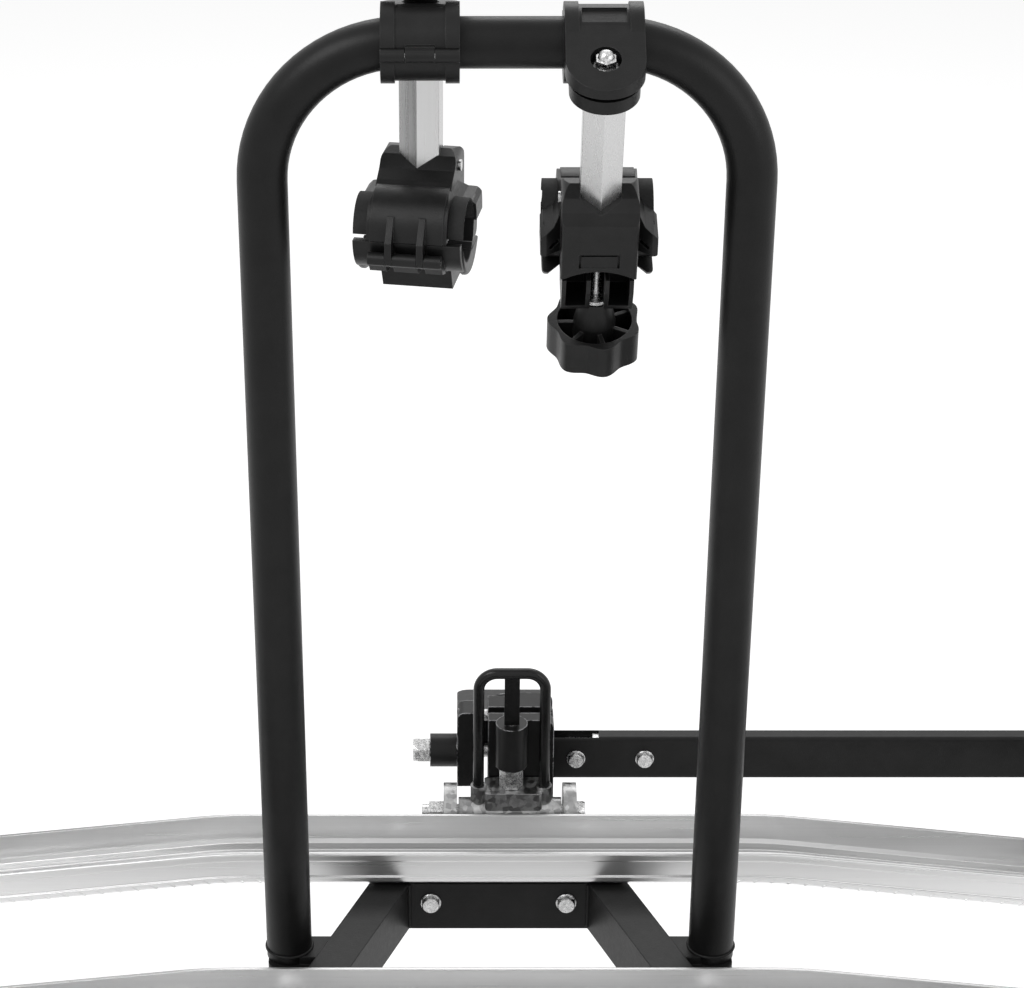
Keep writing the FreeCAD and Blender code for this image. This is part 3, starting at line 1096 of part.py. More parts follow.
def wing_outline():
    """The ring's outline seen from the rod's side: full width low down, drawn in at the top."""
    wing = JAW_WING_HALF_WIDTH
    band = JAW_BAND_HALF_WIDTH
    ring_top = -BIKE_HOLE_DEPTH + JAW_OUTER_RADIUS
    right = [(wing, -JAW_SPLIT_DEPTH), (wing, ring_top - 17), (wing - 3, ring_top - 14),
             (band + 5, ring_top - 11.5), (band + 1.5, ring_top - 7), (band - 1, ring_top + 1)]
    left = [(-x, z) for x, z in reversed(right)]
    points = [V(x, HOLE_Y - 60, z) for x, z in right + left]
    outline = polygon_face(points).extrude(Y_AXIS * 130)
    cuts = []
    for low_x, high_x in ((-wing - 1, -band - 1.5), (band + 1.5, wing + 1)):
        beyond = box(low_x, high_x, -80, 80, WING_CUT, 80)
        beyond.rotate(V(0, 0, 0), X_AXIS, 45)
        beyond.translate(V(0, HOLE_Y, HOLE_Z))
        cuts.append(beyond)
        cuts.append(box(low_x, high_x, -80, HOLE_Y - 10, HOLE_Z - 80, HOLE_Z + 80))
    return outline.cut(cuts)


def band_outline_solid(half_width, top_depth, low_depth, corner):
    """A block along the arm with rounded upper corners, seen from the rod's side."""
    slab = box(-half_width, half_width, HINGE_Y - 20, FRONT_Y + 20, -low_depth, -top_depth)
    return rounded(slab, corner, lambda middle, direction: is_along(direction, Y_AXIS)
                   and middle.z > -top_depth - 1)


def make_jaw_body():
    points = [V(0, ROD_OFFSET + q, -s) for q, s in band_profile()]
    band = polygon_face(points).extrude(X_AXIS * 2 * JAW_BAND_HALF_WIDTH)
    band.translate(V(-JAW_BAND_HALF_WIDTH, 0, 0))
    band = band.common(band_outline_solid(JAW_BAND_HALF_WIDTH, JAW_TOP_DEPTH, 170, 7.0))
    front_block = box(-JAW_BAND_HALF_WIDTH, JAW_BAND_HALF_WIDTH, HINGE_Y - 20, FRONT_Y, -200, 0)
    band = band.common(rounded(front_block, 3.0, lambda middle, direction:
                               is_along(direction, Z_AXIS) and middle.y > FRONT_Y - 1))
    ring = flared_ring(JAW_WING_HALF_WIDTH).common(wing_outline())
    middle_ring = rod(JAW_OUTER_RADIUS + JAW_BAND_PROUD, V(1 - JAW_BAND_HALF_WIDTH, HOLE_Y, HOLE_Z),
                      V(JAW_BAND_HALF_WIDTH - 1, HOLE_Y, HOLE_Z))
    middle_ring = middle_ring.common(box(-50, 50, HOLE_Y - 50, HOLE_Y, -JAW_SPLIT_DEPTH, 0))
    lug_front = ROD_OFFSET + 6
    lug = box(-JAW_WING_HALF_WIDTH + 2, JAW_WING_HALF_WIDTH - 2, HOLE_Y, lug_front,
              -JAW_SPLIT_DEPTH - 14, -JAW_SPLIT_DEPTH + 16)
    lug = rounded(lug, 6.0, lambda middle, direction: is_along(direction, X_AXIS)
                  and middle.y > lug_front - 1)
    body = joined([band, ring, middle_ring, lug])
    hole = rod(BIKE_HOLE_RADIUS, V(-60, HOLE_Y, HOLE_Z), V(60, HOLE_Y, HOLE_Z))
    below_hole = box(-60, 60, HINGE_Y - 30, HOLE_Y + BIKE_HOLE_RADIUS * 0.6, -200, -JAW_SPLIT_DEPTH)
    arch_radius = (JAW_BAND_HALF_WIDTH ** 2 + JAW_ARCH_RISE ** 2) / (2 * JAW_ARCH_RISE)
    arch_z = -(JAW_FRONT_BOTTOM - JAW_ARCH_RISE) - arch_radius
    arch = rod(arch_radius, V(0, HOLE_Y, arch_z), V(0, FRONT_Y + 5, arch_z))
    arch = arch.common(box(-JAW_BAND_HALF_WIDTH - 20, JAW_BAND_HALF_WIDTH + 20, HOLE_Y, FRONT_Y + 5,
                           -200, -JAW_SPLIT_DEPTH))
    socket = hex_prism(HEX_TUBE_FLATS + 2 * RUNNING_FIT, V(0, ROD_OFFSET, -HEX_TUBE_BOTTOM),
                       V(0, ROD_OFFSET, 0), Y_AXIS * 1)
    rod_hole = rod(ROD_RADIUS + 2 * BOLT_HOLE_FIT, V(0, ROD_OFFSET, -250), V(0, ROD_OFFSET, 0))
    notch_points = [V(0, FRONT_Y + 5, -JAW_TOP_DEPTH + 5), V(-14, FRONT_Y + 5, -JAW_TOP_DEPTH + 5),
                    V(-14, FRONT_Y + 5, -JAW_TOP_DEPTH - 4), V(0, FRONT_Y + 5, -JAW_TOP_DEPTH - 11),
                    V(14, FRONT_Y + 5, -JAW_TOP_DEPTH - 4), V(14, FRONT_Y + 5, -JAW_TOP_DEPTH + 5)]
    notch = polygon_face(notch_points).extrude(V(0, -JAW_FRONT - 5, 0))
    window = box(-14, 14, FRONT_Y - 2.5, FRONT_Y + 1, -143, -131)
    tab = box(-12.5, 12.5, FRONT_Y - 3, FRONT_Y - 0.6, -143, -133)
    below_front = box(-60, 60, HOLE_Y, FRONT_Y + 20, -200, -JAW_FRONT_BOTTOM)
    body = body.cut([hole, below_hole, below_front, arch, socket, rod_hole, notch, window]).fuse(tab)
    cuts = []
    for side in (-1, 1):
        for offset, lift in ((12.0, 29.5), (31.0, 6.0)):
            slot = box(-3.5, 3.5, -6, 6, -1.3, 1.3)
            slot.Placement = FreeCAD.Placement(
                V(side * 31, ROD_OFFSET + WING_OFFSET + offset, HOLE_Z + lift),
                FreeCAD.Rotation(Y_AXIS, side * 30))
            cuts.append(slot)
    body = body.cut(cuts)
    pieces = [body]
    for place in RIB_PLACES:
        rib_points = [V(place - RIB_HALF, HINGE_Y + 8, -JAW_SPLIT_DEPTH + 18),
                      V(place - RIB_HALF, HINGE_Y - 4, -JAW_SPLIT_DEPTH + 2),
                      V(place - RIB_HALF, HINGE_Y - KNUCKLE_RADIUS, HINGE_Z),
                      V(place - RIB_HALF, HINGE_Y + KNUCKLE_RADIUS, HINGE_Z),
                      V(place - RIB_HALF, HINGE_Y + KNUCKLE_RADIUS, -JAW_SPLIT_DEPTH + 2)]
        pieces.append(polygon_face(rib_points).extrude(X_AXIS * 2 * RIB_HALF))
        pieces.append(rod(KNUCKLE_RADIUS, V(place - RIB_HALF, HINGE_Y, HINGE_Z),
                          V(place + RIB_HALF, HINGE_Y, HINGE_Z)))
    pin_hole = rod(2.0, V(-50, HINGE_Y, HINGE_Z), V(50, HINGE_Y, HINGE_Z))
    screw_hole = rod(2.5, V(HEX_TUBE_FLATS / 2 - 4, ROD_OFFSET, -JAW_TOP_DEPTH - 12),
                     V(JAW_BAND_HALF_WIDTH + 1, ROD_OFFSET, -JAW_TOP_DEPTH - 12))
    return joined(pieces).cut([pin_hole, screw_hole])


def make_jaw_pins():
    """The door's hinge pin and the screw that holds the hexagonal tube in the jaw."""
    hinge = rod(2.0 - RUNNING_FIT, V(-JAW_BAND_HALF_WIDTH + 1, HINGE_Y, HINGE_Z),
                V(JAW_BAND_HALF_WIDTH - 1, HINGE_Y, HINGE_Z))
    screw_z = -JAW_TOP_DEPTH - 12
    shank = rod(2.4, V(HEX_TUBE_FLATS / 2 + RUNNING_FIT, ROD_OFFSET, screw_z),
                V(JAW_BAND_HALF_WIDTH, ROD_OFFSET, screw_z))
    head = rod(4.0, V(JAW_BAND_HALF_WIDTH, ROD_OFFSET, screw_z),
               V(JAW_BAND_HALF_WIDTH + 2, ROD_OFFSET, screw_z))
    return [hinge, joined([shank, head])]


def make_jaw_door(foot_pocket):
    """The lower jaw: a half ring under the bike tube and a hollow nose that the rod pulls up."""
    half_ring = JAW_WING_HALF_WIDTH - 2
    top = -JAW_SPLIT_DEPTH - 2 * FACE_GAP
    ring = flared_ring(half_ring).common(box(-60, 60, HINGE_Y - 10, HOLE_Y + 60, -200, top))
    nose_top = -JAW_FRONT_BOTTOM - 2.5
    nose_points = [(-40, 150), (JAW_FRONT - 3, JAW_FRONT_BOTTOM + 2.5), (JAW_FRONT - 3, 168),
                   (JAW_FRONT - 9, DOOR_SEAT_DEPTH), (-15, DOOR_SEAT_DEPTH), (-24, 168), (-40, 164)]
    nose = polygon_face([V(0, ROD_OFFSET + q, -s) for q, s in nose_points])
    nose_half = JAW_BAND_HALF_WIDTH - 1.5
    nose = nose.extrude(X_AXIS * 2 * nose_half)
    nose.translate(V(-nose_half, 0, 0))
    body = joined([ring, nose])
    hole = rod(BIKE_HOLE_RADIUS, V(-60, HOLE_Y, HOLE_Z), V(60, HOLE_Y, HOLE_Z))
    body_room = box(-60, 60, HOLE_Y + BIKE_HOLE_RADIUS * 0.6 - 2 * FACE_GAP, FRONT_Y + 10, nose_top, 0)
    rod_slot = joined([rod(ROD_RADIUS + 1, V(0, ROD_OFFSET, -250), V(0, ROD_OFFSET, 0)),
                       box(-ROD_RADIUS - 1, ROD_RADIUS + 1, ROD_OFFSET, FRONT_Y + 10, -250, 0)])
    pockets = []
    pocket_back = ROD_OFFSET - 9
    for low_x, high_x in ((-nose_half + 3, -ROD_RADIUS - 4), (ROD_RADIUS + 4, nose_half - 3)):
        pockets.append(box(low_x, high_x, pocket_back, FRONT_Y + 10, -DOOR_SEAT_DEPTH + 3.5, nose_top + 1))
    swing_room = rod(ROD_RADIUS + 2.5, V(0, ROD_OFFSET, -DOOR_SEAT_DEPTH + 5), V(0, ROD_OFFSET, 0))
    rib_rooms = []
    for place in RIB_PLACES:
        rib_rooms.append(box(place - RIB_HALF - FACE_GAP, place + RIB_HALF + FACE_GAP, HINGE_Y - 10,
                             HINGE_Y + KNUCKLE_RADIUS + 2, HINGE_Z - KNUCKLE_RADIUS - 1, top + 1))
    pieces = [body]
    edges = [-JAW_BAND_HALF_WIDTH + 1, RIB_PLACES[0] - RIB_HALF - FACE_GAP,
             RIB_PLACES[0] + RIB_HALF + FACE_GAP, RIB_PLACES[1] - RIB_HALF - FACE_GAP,
             RIB_PLACES[1] + RIB_HALF + FACE_GAP, JAW_BAND_HALF_WIDTH - 1]
    for low_x, high_x in zip(edges[0::2], edges[1::2]):
        pieces.append(rod(KNUCKLE_RADIUS, V(low_x, HINGE_Y, HINGE_Z), V(high_x, HINGE_Y, HINGE_Z)))
        web = [V(low_x, HINGE_Y - 3, HINGE_Z), V(low_x, HINGE_Y + 6, HINGE_Z),
               V(low_x, HINGE_Y + 18, HINGE_Z - 7), V(low_x, HINGE_Y + 16, HINGE_Z - 14),
               V(low_x, HINGE_Y + 6, HINGE_Z - 11)]
        pieces.append(polygon_face(web).extrude(X_AXIS * (high_x - low_x)))
    swept = joined(pieces)
    pin_hole = rod(2.0, V(-50, HINGE_Y, HINGE_Z), V(50, HINGE_Y, HINGE_Z))
    cuts = [hole, body_room, rod_slot, swing_room, pin_hole] + pockets + rib_rooms
    if foot_pocket:
        cuts.append(joined([rod(9.5, V(0, ROD_OFFSET, SEAT_Z - 1), V(0, ROD_OFFSET, SEAT_Z + FOOT_POCKET)),
                            box(-9.5, 9.5, ROD_OFFSET, FRONT_Y + 10, SEAT_Z - 1, SEAT_Z + FOOT_POCKET)]))
    return swept.cut(cuts)


def make_knob_washer(top):
    """A plain washer whose upper face is at top."""
    outer = rod(9.6, V(0, ROD_OFFSET, top - WASHER_THICKNESS), V(0, ROD_OFFSET, top))
    return outer.cut(rod(ROD_RADIUS + 0.1, V(0, ROD_OFFSET, top - 10), V(0, ROD_OFFSET, top + 1)))


def make_star_knob(top):
    """A hollow lobed rim on spokes round a flared hub whose end is at top."""
    rim_top = top - KNOB_HUB_LENGTH
    rim_bottom = rim_top - KNOB_RIM_HEIGHT
    points = []
    samples_per_lobe = 4
    samples = KNOB_LOBES * samples_per_lobe
    for index in range(samples):
        angle = 2 * math.pi * index / samples
        reach = KNOB_RADIUS - 2.0 + 2.0 * math.cos(KNOB_LOBES * angle)
        points.append(V(reach * math.cos(angle), ROD_OFFSET + reach * math.sin(angle), rim_bottom))
    outline = Part.BSplineCurve()
    outline.interpolate(Points=points, PeriodicFlag=True)
    face = Part.Face(Part.Wire([outline.toShape()]))
    rim = face.extrude(Z_AXIS * KNOB_RIM_HEIGHT)
    floor = rim_bottom + 4
    cavity = rod(KNOB_RADIUS - 7, V(0, ROD_OFFSET, floor), V(0, ROD_OFFSET, top))
    hub = Part.makeCone(15.0, 10.5, KNOB_HUB_LENGTH, V(0, ROD_OFFSET, rim_top), Z_AXIS)
    core = rod(15.0, V(0, ROD_OFFSET, floor - 1), V(0, ROD_OFFSET, rim_top))
    pieces = [rim.cut(cavity), hub, core]
    for index in range(KNOB_LOBES):
        spoke = box(12, KNOB_RADIUS - 6, -1.5, 1.5, floor - 1, rim_top - 2)
        spoke.rotate(V(0, 0, 0), Z_AXIS, 360 * index / KNOB_LOBES)
        spoke.translate(V(0, ROD_OFFSET, 0))
        pieces.append(spoke)
    thread_room = rod(ROD_RADIUS + RUNNING_FIT, V(0, ROD_OFFSET, floor - 1 + 2), V(0, ROD_OFFSET, top + 1))
    return joined(pieces).cut(thread_room)


def arm_placement(arm_x_offset, facing, tilt):
    """Where an arm's own frame goes: on the top tube, tongue forward or back, hung at a tilt."""
    turn = FreeCAD.Rotation(Z_AXIS, 0 if facing > 0 else 180)
    lean = FreeCAD.Rotation(X_AXIS, tilt)
    return FreeCAD.Placement(V(FRAME_X + arm_x_offset, UPRIGHT_Y, UPRIGHT_TOP), lean.multiply(turn))


def knob_set(on_top):
    """The star knob and its washer, under the jaw's door or over the upper tongue."""
    if not on_top:
        washer_top = SEAT_Z - FACE_GAP
        return make_knob_washer(washer_top), make_star_knob(washer_top - WASHER_THICKNESS - FACE_GAP)
    washer = make_knob_washer(KNOB_SEAT_Z)
    knob = make_star_knob(0)
    knob.rotate(ROD_AXIS_TOP, X_AXIS, 180)
    knob.translate(V(0, 0, KNOB_SEAT_Z + FACE_GAP))
    return washer, knob


def save_arm(name, placement, outer_side, swivel, knob_on_top):
    washer, knob = knob_set(knob_on_top)
    arm_rod = make_top_knob_rod() if knob_on_top else make_arm_rod()
    recess_radius = KNOB_RECESS if knob_on_top else NUT_RECESS
    fixed = {"clamp_upper": clamp_shell(True, outer_side, recess_radius),
             "clamp_lower": clamp_shell(False, outer_side, recess_radius),
             "clamp_hinge_pin": make_clamp_hinge_pin(), "arm_rod": arm_rod}
    turned = {"hex_tube": make_hex_tube(), "jaw_body": make_jaw_body(), "jaw_pins": make_jaw_pins(),
              "jaw_door": make_jaw_door(knob_on_top), "knob_washer": washer, "star_knob": knob}
    for node, shape in list(fixed.items()) + list(turned.items()):
        shape = Part.makeCompound(shape) if isinstance(shape, list) else shape
        if node in turned:
            shape.rotate(ROD_AXIS_TOP, Z_AXIS, swivel)
        shape.Placement = placement.multiply(shape.Placement)
        save(name + "_" + node, shape)


# Lamp board

def make_lamp_panel():
    """A shallow tray against the rear bar, open to the back."""
    half = PANEL_LENGTH / 2
    front = REAR_BAR_FRONT - REAR_BAR_SIZE
    back = front - PANEL_THICKNESS - PANEL_RIM
    low = PANEL_TOP - PANEL_HEIGHT
    outer = box(FRAME_X - half, FRAME_X + half, back, front, low, PANEL_TOP)
    outer = rounded(outer, 12.0, lambda middle, direction: is_along(direction, Y_AXIS))
    tray = box(FRAME_X - half + 4, FRAME_X + half - 4, back - 1, front - PANEL_THICKNESS, low + 4,
               PANEL_TOP - 4)
    tray = rounded(tray, 8.0, lambda middle, direction: is_along(direction, Y_AXIS))
    gland_hole = rod(8.0, V(FRAME_X + 120, back, PANEL_TOP - 70), V(FRAME_X + 120, front + 1, PANEL_TOP - 70))
    return outer.cut([tray, gland_hole])


LAMP_FRONT = REAR_BAR_FRONT - REAR_BAR_SIZE - PANEL_THICKNESS
LAMP_BACK = LAMP_FRONT - LAMP_DEPTH
LAMP_Z = PANEL_TOP - PANEL_HEIGHT / 2


def lamp_block(low_x, high_x, low_y, high_y, inset):
    half_z = LAMP_HEIGHT / 2 - inset
    block = box(low_x, high_x, low_y, high_y, LAMP_Z - half_z, LAMP_Z + half_z)
    return block


def lamp_span():
    return FRAME_X + LAMP_CENTRE - LAMP_LENGTH / 2, FRAME_X + LAMP_CENTRE + LAMP_LENGTH / 2


def make_lamp_housings():
    low_x, high_x = lamp_span()
    outer = lamp_block(low_x, high_x, LAMP_BACK, LAMP_FRONT, 0)
    outer = rounded(outer, 10.0, lambda middle, direction: is_along(direction, Y_AXIS))
    inner = lamp_block(low_x + LAMP_WALL, high_x - LAMP_WALL, LAMP_BACK - 1, LAMP_FRONT - 4, LAMP_WALL)
    inner = rounded(inner, 8.0, lambda middle, direction: is_along(direction, Y_AXIS))
    right = outer.cut(inner)
    return [right, mirrored(right)]


def make_lenses(amber):
    """A ribbed lens set in the housing's mouth; the amber part is the outer one."""
    low_x, high_x = lamp_span()
    split = high_x - LAMP_LENGTH * AMBER_SHARE
    inset = LAMP_WALL + RUNNING_FIT
    if amber:
        start = split + FACE_GAP
        end = high_x - inset
    else:
        start = low_x + inset
        end = split
    lens = lamp_block(start, end, LAMP_BACK - 4, LAMP_BACK + 2, inset)
    outer_side = (end if amber else start)
    lens = rounded(lens, 8.0, lambda middle, direction: is_along(direction, Y_AXIS)
                   and abs(middle.x - outer_side) < 1)
    ledge = lamp_block(start, end, LAMP_BACK + 2, LAMP_FRONT - 4, inset)
    ledge = rounded(ledge, 8.0, lambda middle, direction: is_along(direction, Y_AXIS)
                    and abs(middle.x - outer_side) < 1)
    hollow = lamp_block(start + 2, end - 2, LAMP_BACK + 2, LAMP_FRONT, inset + 2)
    right = joined([lens, ledge.cut(hollow)])
    return [right, mirrored(right)]


def make_plate_holder():
    """A flat carrier for the number plate with a turned-up ledge."""
    half = PLATE_LENGTH / 2
    half_z = PLATE_HEIGHT / 2
    plate = box(FRAME_X - half, FRAME_X + half, LAMP_FRONT - 6, LAMP_FRONT, LAMP_Z - half_z,
                LAMP_Z + half_z)
    ledge = box(FRAME_X - half, FRAME_X + half, LAMP_FRONT - 10, LAMP_FRONT - 6, LAMP_Z - half_z,
                LAMP_Z - half_z + 4)
    return joined([plate, ledge])


def make_cable_gland():
    front = REAR_BAR_FRONT - REAR_BAR_SIZE
    centre = V(FRAME_X + 120, front, PANEL_TOP - 70)
    flange = hex_prism(22, centre, centre + Y_AXIS * 5, Z_AXIS * 1)
    sleeve = rod(8.0 - RUNNING_FIT, centre - Y_AXIS * (PANEL_THICKNESS - 0.2), centre + Y_AXIS * 5)
    taper = Part.makeCone(9.0, 6.0, 14.0, centre + Y_AXIS * 5, Y_AXIS)
    passage = rod(3.6, centre - Y_AXIS * 20, centre + Y_AXIS * 30)
    return joined([flange, sleeve, taper]).cut(passage)


def main():
    os.makedirs("parts", exist_ok=True)
    save("coupling_body", make_coupling_body())
    save("coupling_yoke", make_coupling_yoke())
    save("guide_pin", make_guide_pin())
    save("ball_cheek", make_ball_cheek())
    save("clamp_screw", make_clamp_screw())
    save("adjusting_nut", make_adjusting_nut())
    save("lever_tube", make_lever_tube())
    save("lever_cam", make_lever_cam())
    save("lever_bolts", make_lever_bolts())
    save("lever_end_cap", make_lever_end_cap())
    save("release_bail", make_release_bail())
    save("latch_plunger", make_latch_plunger())
    save("tilt_bracket", make_tilt_bracket())
    save("tilt_bolt", make_tilt_bolt())
    save("frame_arms", make_frame_arms())
    save("cross_brace", make_cross_brace())
    save("brace_bolts", make_brace_bolts())
    save("rear_bar", make_rear_bar())
    save("tube_plugs", make_tube_plugs())
    save("u_frame", make_u_frame())
    save("foot_brackets", make_foot_brackets())
    save("foot_bolts", make_foot_bolts())
    save("rail_far", make_rail(RAIL_FAR_Y))
    save("rail_near", make_rail(RAIL_NEAR_Y))
    save("rail_pads", make_rail_pads())
    save("rail_bolts", make_rail_bolts())
    save("rail_end_caps", make_rail_end_caps())
    save("wheel_cups", [on_tail(cup_shape(), *place) for place in CORNERS])
    save("strap_bands", [on_tail(strap_shape(), *place) for place in CORNERS])
    save("buckle_bodies", [on_tail(buckle_shape(), *place) for place in CORNERS])
    for index, place in enumerate(CORNERS):
        save("buckle_lever_" + str(index + 1), on_tail(buckle_lever_shape(), *place))
    save_arm("left", arm_placement(LEFT_ARM_X, 1, 0), -1, LEFT_ARM_SWIVEL, True)
    save_arm("right", arm_placement(RIGHT_ARM_X, -1, RIGHT_ARM_TILT), -1, 0, False)
    save("lamp_panel", make_lamp_panel())
    save("lamp_housings", make_lamp_housings())
    save("red_lenses", make_lenses(False))
    save("amber_lenses", make_lenses(True))
    save("plate_holder", make_plate_holder())
    save("cable_gland", make_cable_gland())


main()
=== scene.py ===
"""Towbar platform bike rack, dressed for a studio picture.

Metres, in the CAD's frame: the origin is the centre of the tow ball, +Y points to the car and
+Z up. The CAD nodes keep their shapes and get their materials here; the pieces added here are
what is too fine for the CAD, such as a thread, weld beads, washers and rubber liners.
"""
import bmesh
import bpy
import json
import math
from mathutils import Matrix, Vector


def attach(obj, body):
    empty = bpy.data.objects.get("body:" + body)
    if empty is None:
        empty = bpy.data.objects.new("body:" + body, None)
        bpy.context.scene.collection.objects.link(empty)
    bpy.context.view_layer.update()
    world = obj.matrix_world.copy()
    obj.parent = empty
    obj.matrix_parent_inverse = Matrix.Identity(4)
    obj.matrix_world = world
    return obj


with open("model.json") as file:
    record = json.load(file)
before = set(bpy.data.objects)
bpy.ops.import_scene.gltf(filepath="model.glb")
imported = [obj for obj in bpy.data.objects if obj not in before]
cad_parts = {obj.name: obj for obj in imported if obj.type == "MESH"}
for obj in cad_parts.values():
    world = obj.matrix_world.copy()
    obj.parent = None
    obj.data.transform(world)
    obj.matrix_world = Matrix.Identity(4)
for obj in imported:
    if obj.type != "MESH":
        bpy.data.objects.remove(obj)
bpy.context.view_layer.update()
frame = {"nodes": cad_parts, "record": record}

# Places taken from the part's own named dimensions
FRAME_X = -0.0106
UPRIGHT_Y = -0.268
UPRIGHT_TOP = 0.690
UPRIGHT_TUBE_RADIUS = 0.0175
FOOT_HALF_SPREAD = 0.164
FOOT_TOP = -0.041

RAIL_ROWS = {"rail_far": -0.162, "rail_near": -0.374}
RAIL_TOP = -0.007
RAIL_DEPTH = 0.029
RAIL_FLOOR = 0.002
RAIL_HALF_WIDTH = 0.030
RAIL_STRAIGHT = 0.200
RAIL_BEND_RADIUS = 0.400
RAIL_BEND_ANGLE = math.radians(6.3)
RAIL_HALF_LENGTH = 0.650

ARM_TOP = -0.038
ARM_WIDTH = 0.030
ARM_ANGLE = math.radians(21.13)
ARM_FRONT = -0.118
ARM_FRONT_HALF = 0.061
FRAME_BOTTOM = -0.081
BRACE_BACK = -0.188
BRACE_FRONT = -0.158
REAR_BAR_FRONT = -0.425
REAR_BAR_TOP = -0.051

LEVER_FACE_Y = -0.0435
LEVER_BOLTS = ((0.0563, -0.0094), (0.1141, -0.0094))
BRACE_BOLTS = ((FRAME_X - 0.0545, -0.056), (FRAME_X + 0.0545, -0.056))

PANEL_BACK_Y = -0.455
PLATE_HOLDER_BACK_Y = -0.471
GLAND = Vector((0.1094, PANEL_BACK_Y, -0.121))

# The bike arms' own frame: X along the jaw's bore, Z up the arm, origin on the top tube's axis
ROD_OFFSET = 0.040
BIKE_HOLE = Vector((0.0, 0.010, -0.136))
BIKE_HOLE_RADIUS = 0.0225
LEFT_ARM_X = -0.0696
LEFT_JAW_TURN = math.radians(-10.0)
RIGHT_ARM_X = 0.0528
RIGHT_ARM_LEAN = math.radians(18.0)
LEFT_ARM = (Matrix.Translation((LEFT_ARM_X, UPRIGHT_Y + ROD_OFFSET, UPRIGHT_TOP))
            @ Matrix.Rotation(LEFT_JAW_TURN, 4, "Z") @ Matrix.Translation((0.0, -ROD_OFFSET, 0.0)))
RIGHT_ARM = (Matrix.Translation((RIGHT_ARM_X, UPRIGHT_Y, UPRIGHT_TOP))
             @ Matrix.Rotation(RIGHT_ARM_LEAN, 4, "X") @ Matrix.Rotation(math.pi, 4, "Z"))


# Materials

class Nodes:
    """A short way to build one material's node tree."""

    def __init__(self, name):
        self.material = bpy.data.materials.new(name)
        self.material.use_nodes = True
        self.tree = self.material.node_tree
        self.shader = self.tree.nodes["Principled BSDF"]
        places = self.tree.nodes.new("ShaderNodeTexCoord")
        self.coords = places.outputs["Object"]
        self.facing = places.outputs["Normal"]

    def feed(self, socket, value):
        """Link another node's output to a socket, or give the socket a plain value."""
        if isinstance(value, bpy.types.NodeSocket):
            self.tree.links.new(value, socket)
        else:
            socket.default_value = value

    def set(self, name, value):
        self.feed(self.shader.inputs[name], value)

    def add(self, kind, settings=None, **inputs):
        """Add a node, set its properties and feed its inputs; _ stands for a space in a name."""
        node = self.tree.nodes.new(kind)
        for key, value in (settings or {}).items():
            setattr(node, key, value)
        for key, value in inputs.items():
            self.feed(node.inputs[key.replace("_", " ")], value)
        return node

    def math(self, operation, first, second):
        node = self.add("ShaderNodeMath", {"operation": operation})
        self.feed(node.inputs[0], first)
        self.feed(node.inputs[1], second)
        return node.outputs["Value"]

    def mix(self, factor, first, second):
        """Blend two colours; the mix node's factor and colours are its inputs 0, 6 and 7."""
        node = self.add("ShaderNodeMix", {"data_type": "RGBA"})
        for index, value in ((0, factor), (6, first), (7, second)):
            self.feed(node.inputs[index], value)
        return node.outputs[2]

    def stretched(self, scale):
        return self.add("ShaderNodeMapping", Vector=self.coords, Scale=scale).outputs["Vector"]

    def noise(self, scale, detail=3.0, roughness=0.55, vector=None):
        node = self.add("ShaderNodeTexNoise", Vector=vector or self.coords, Scale=scale,
                        Detail=detail, Roughness=roughness)
        return node.outputs["Fac"]

    def cells(self, scale):
        return self.add("ShaderNodeTexVoronoi", Vector=self.coords, Scale=scale).outputs

    def ramp(self, value, stops):
        """Grey levels at given places along a value."""
        node = self.add("ShaderNodeValToRGB", Fac=value)
        for element, (position, level) in zip(node.color_ramp.elements, stops):
            element.position = position
            element.color = grey(level)
        return node.outputs["Color"]

    def spread(self, value, low, high):
        return self.add("ShaderNodeMapRange", Value=value, To_Min=low, To_Max=high).outputs["Result"]

    def around(self, value, middle, below, above):
        return self.spread(value, middle - below, middle + above)

    def soft_edges(self, radius):
        return self.add("ShaderNodeBevel", {"samples": 4}, Radius=radius).outputs["Normal"]

    def bump(self, height, distance, strength, edge_radius):
        """A bump on top of edges that are rounded by edge_radius."""
        return self.add("ShaderNodeBump", Height=height, Distance=distance, Strength=strength,
                        Normal=self.soft_edges(edge_radius)).outputs["Normal"]

    def edge_wear(self, radius, low, high):
        """0 on flat surfaces and 1 along edges, from how far the rounded normal leans."""
        lean = self.add("ShaderNodeVectorMath", {"operation": "DOT_PRODUCT"})
        self.feed(lean.inputs[0], self.soft_edges(radius))
        self.feed(lean.inputs[1], self.add("ShaderNodeNewGeometry").outputs["Normal"])
        return self.add("ShaderNodeMapRange", Value=lean.outputs["Value"],
                        From_Min=1.0 - low, From_Max=1.0 - high).outputs["Result"]


def grey(level):
    return (level, level, level, 1.0)


BARE_METAL = (0.42, 0.42, 0.43, 1.0)


def coated_steel(name, dark, light, roughness, grain, edge_radius, shine, worn=False):
    """Black powder coat: fine orange peel, mottled in tone and gloss, and chipped where worn."""
    n = Nodes(name)
    tone = n.ramp(n.noise(38.0, 4.0), [(0.3, dark), (0.75, light)])
    if worn:
        edges = n.edge_wear(radius=0.0016, low=0.02, high=0.12)
        chips = n.math("MULTIPLY", edges, n.noise(160.0, 5.0, 0.7))
        bare = n.ramp(chips, [(0.42, 0.0), (0.5, 1.0)])
        tone = n.mix(bare, tone, BARE_METAL)
        n.set("Metallic", bare)
    n.set("Base Color", tone)
    n.set("Roughness", n.around(n.noise(240.0), roughness, 0.05, 0.07))
    n.set("Specular IOR Level", shine)
    n.set("Normal", n.bump(n.noise(grain, 2.0), 0.00025, 0.45, edge_radius))
    return n.material


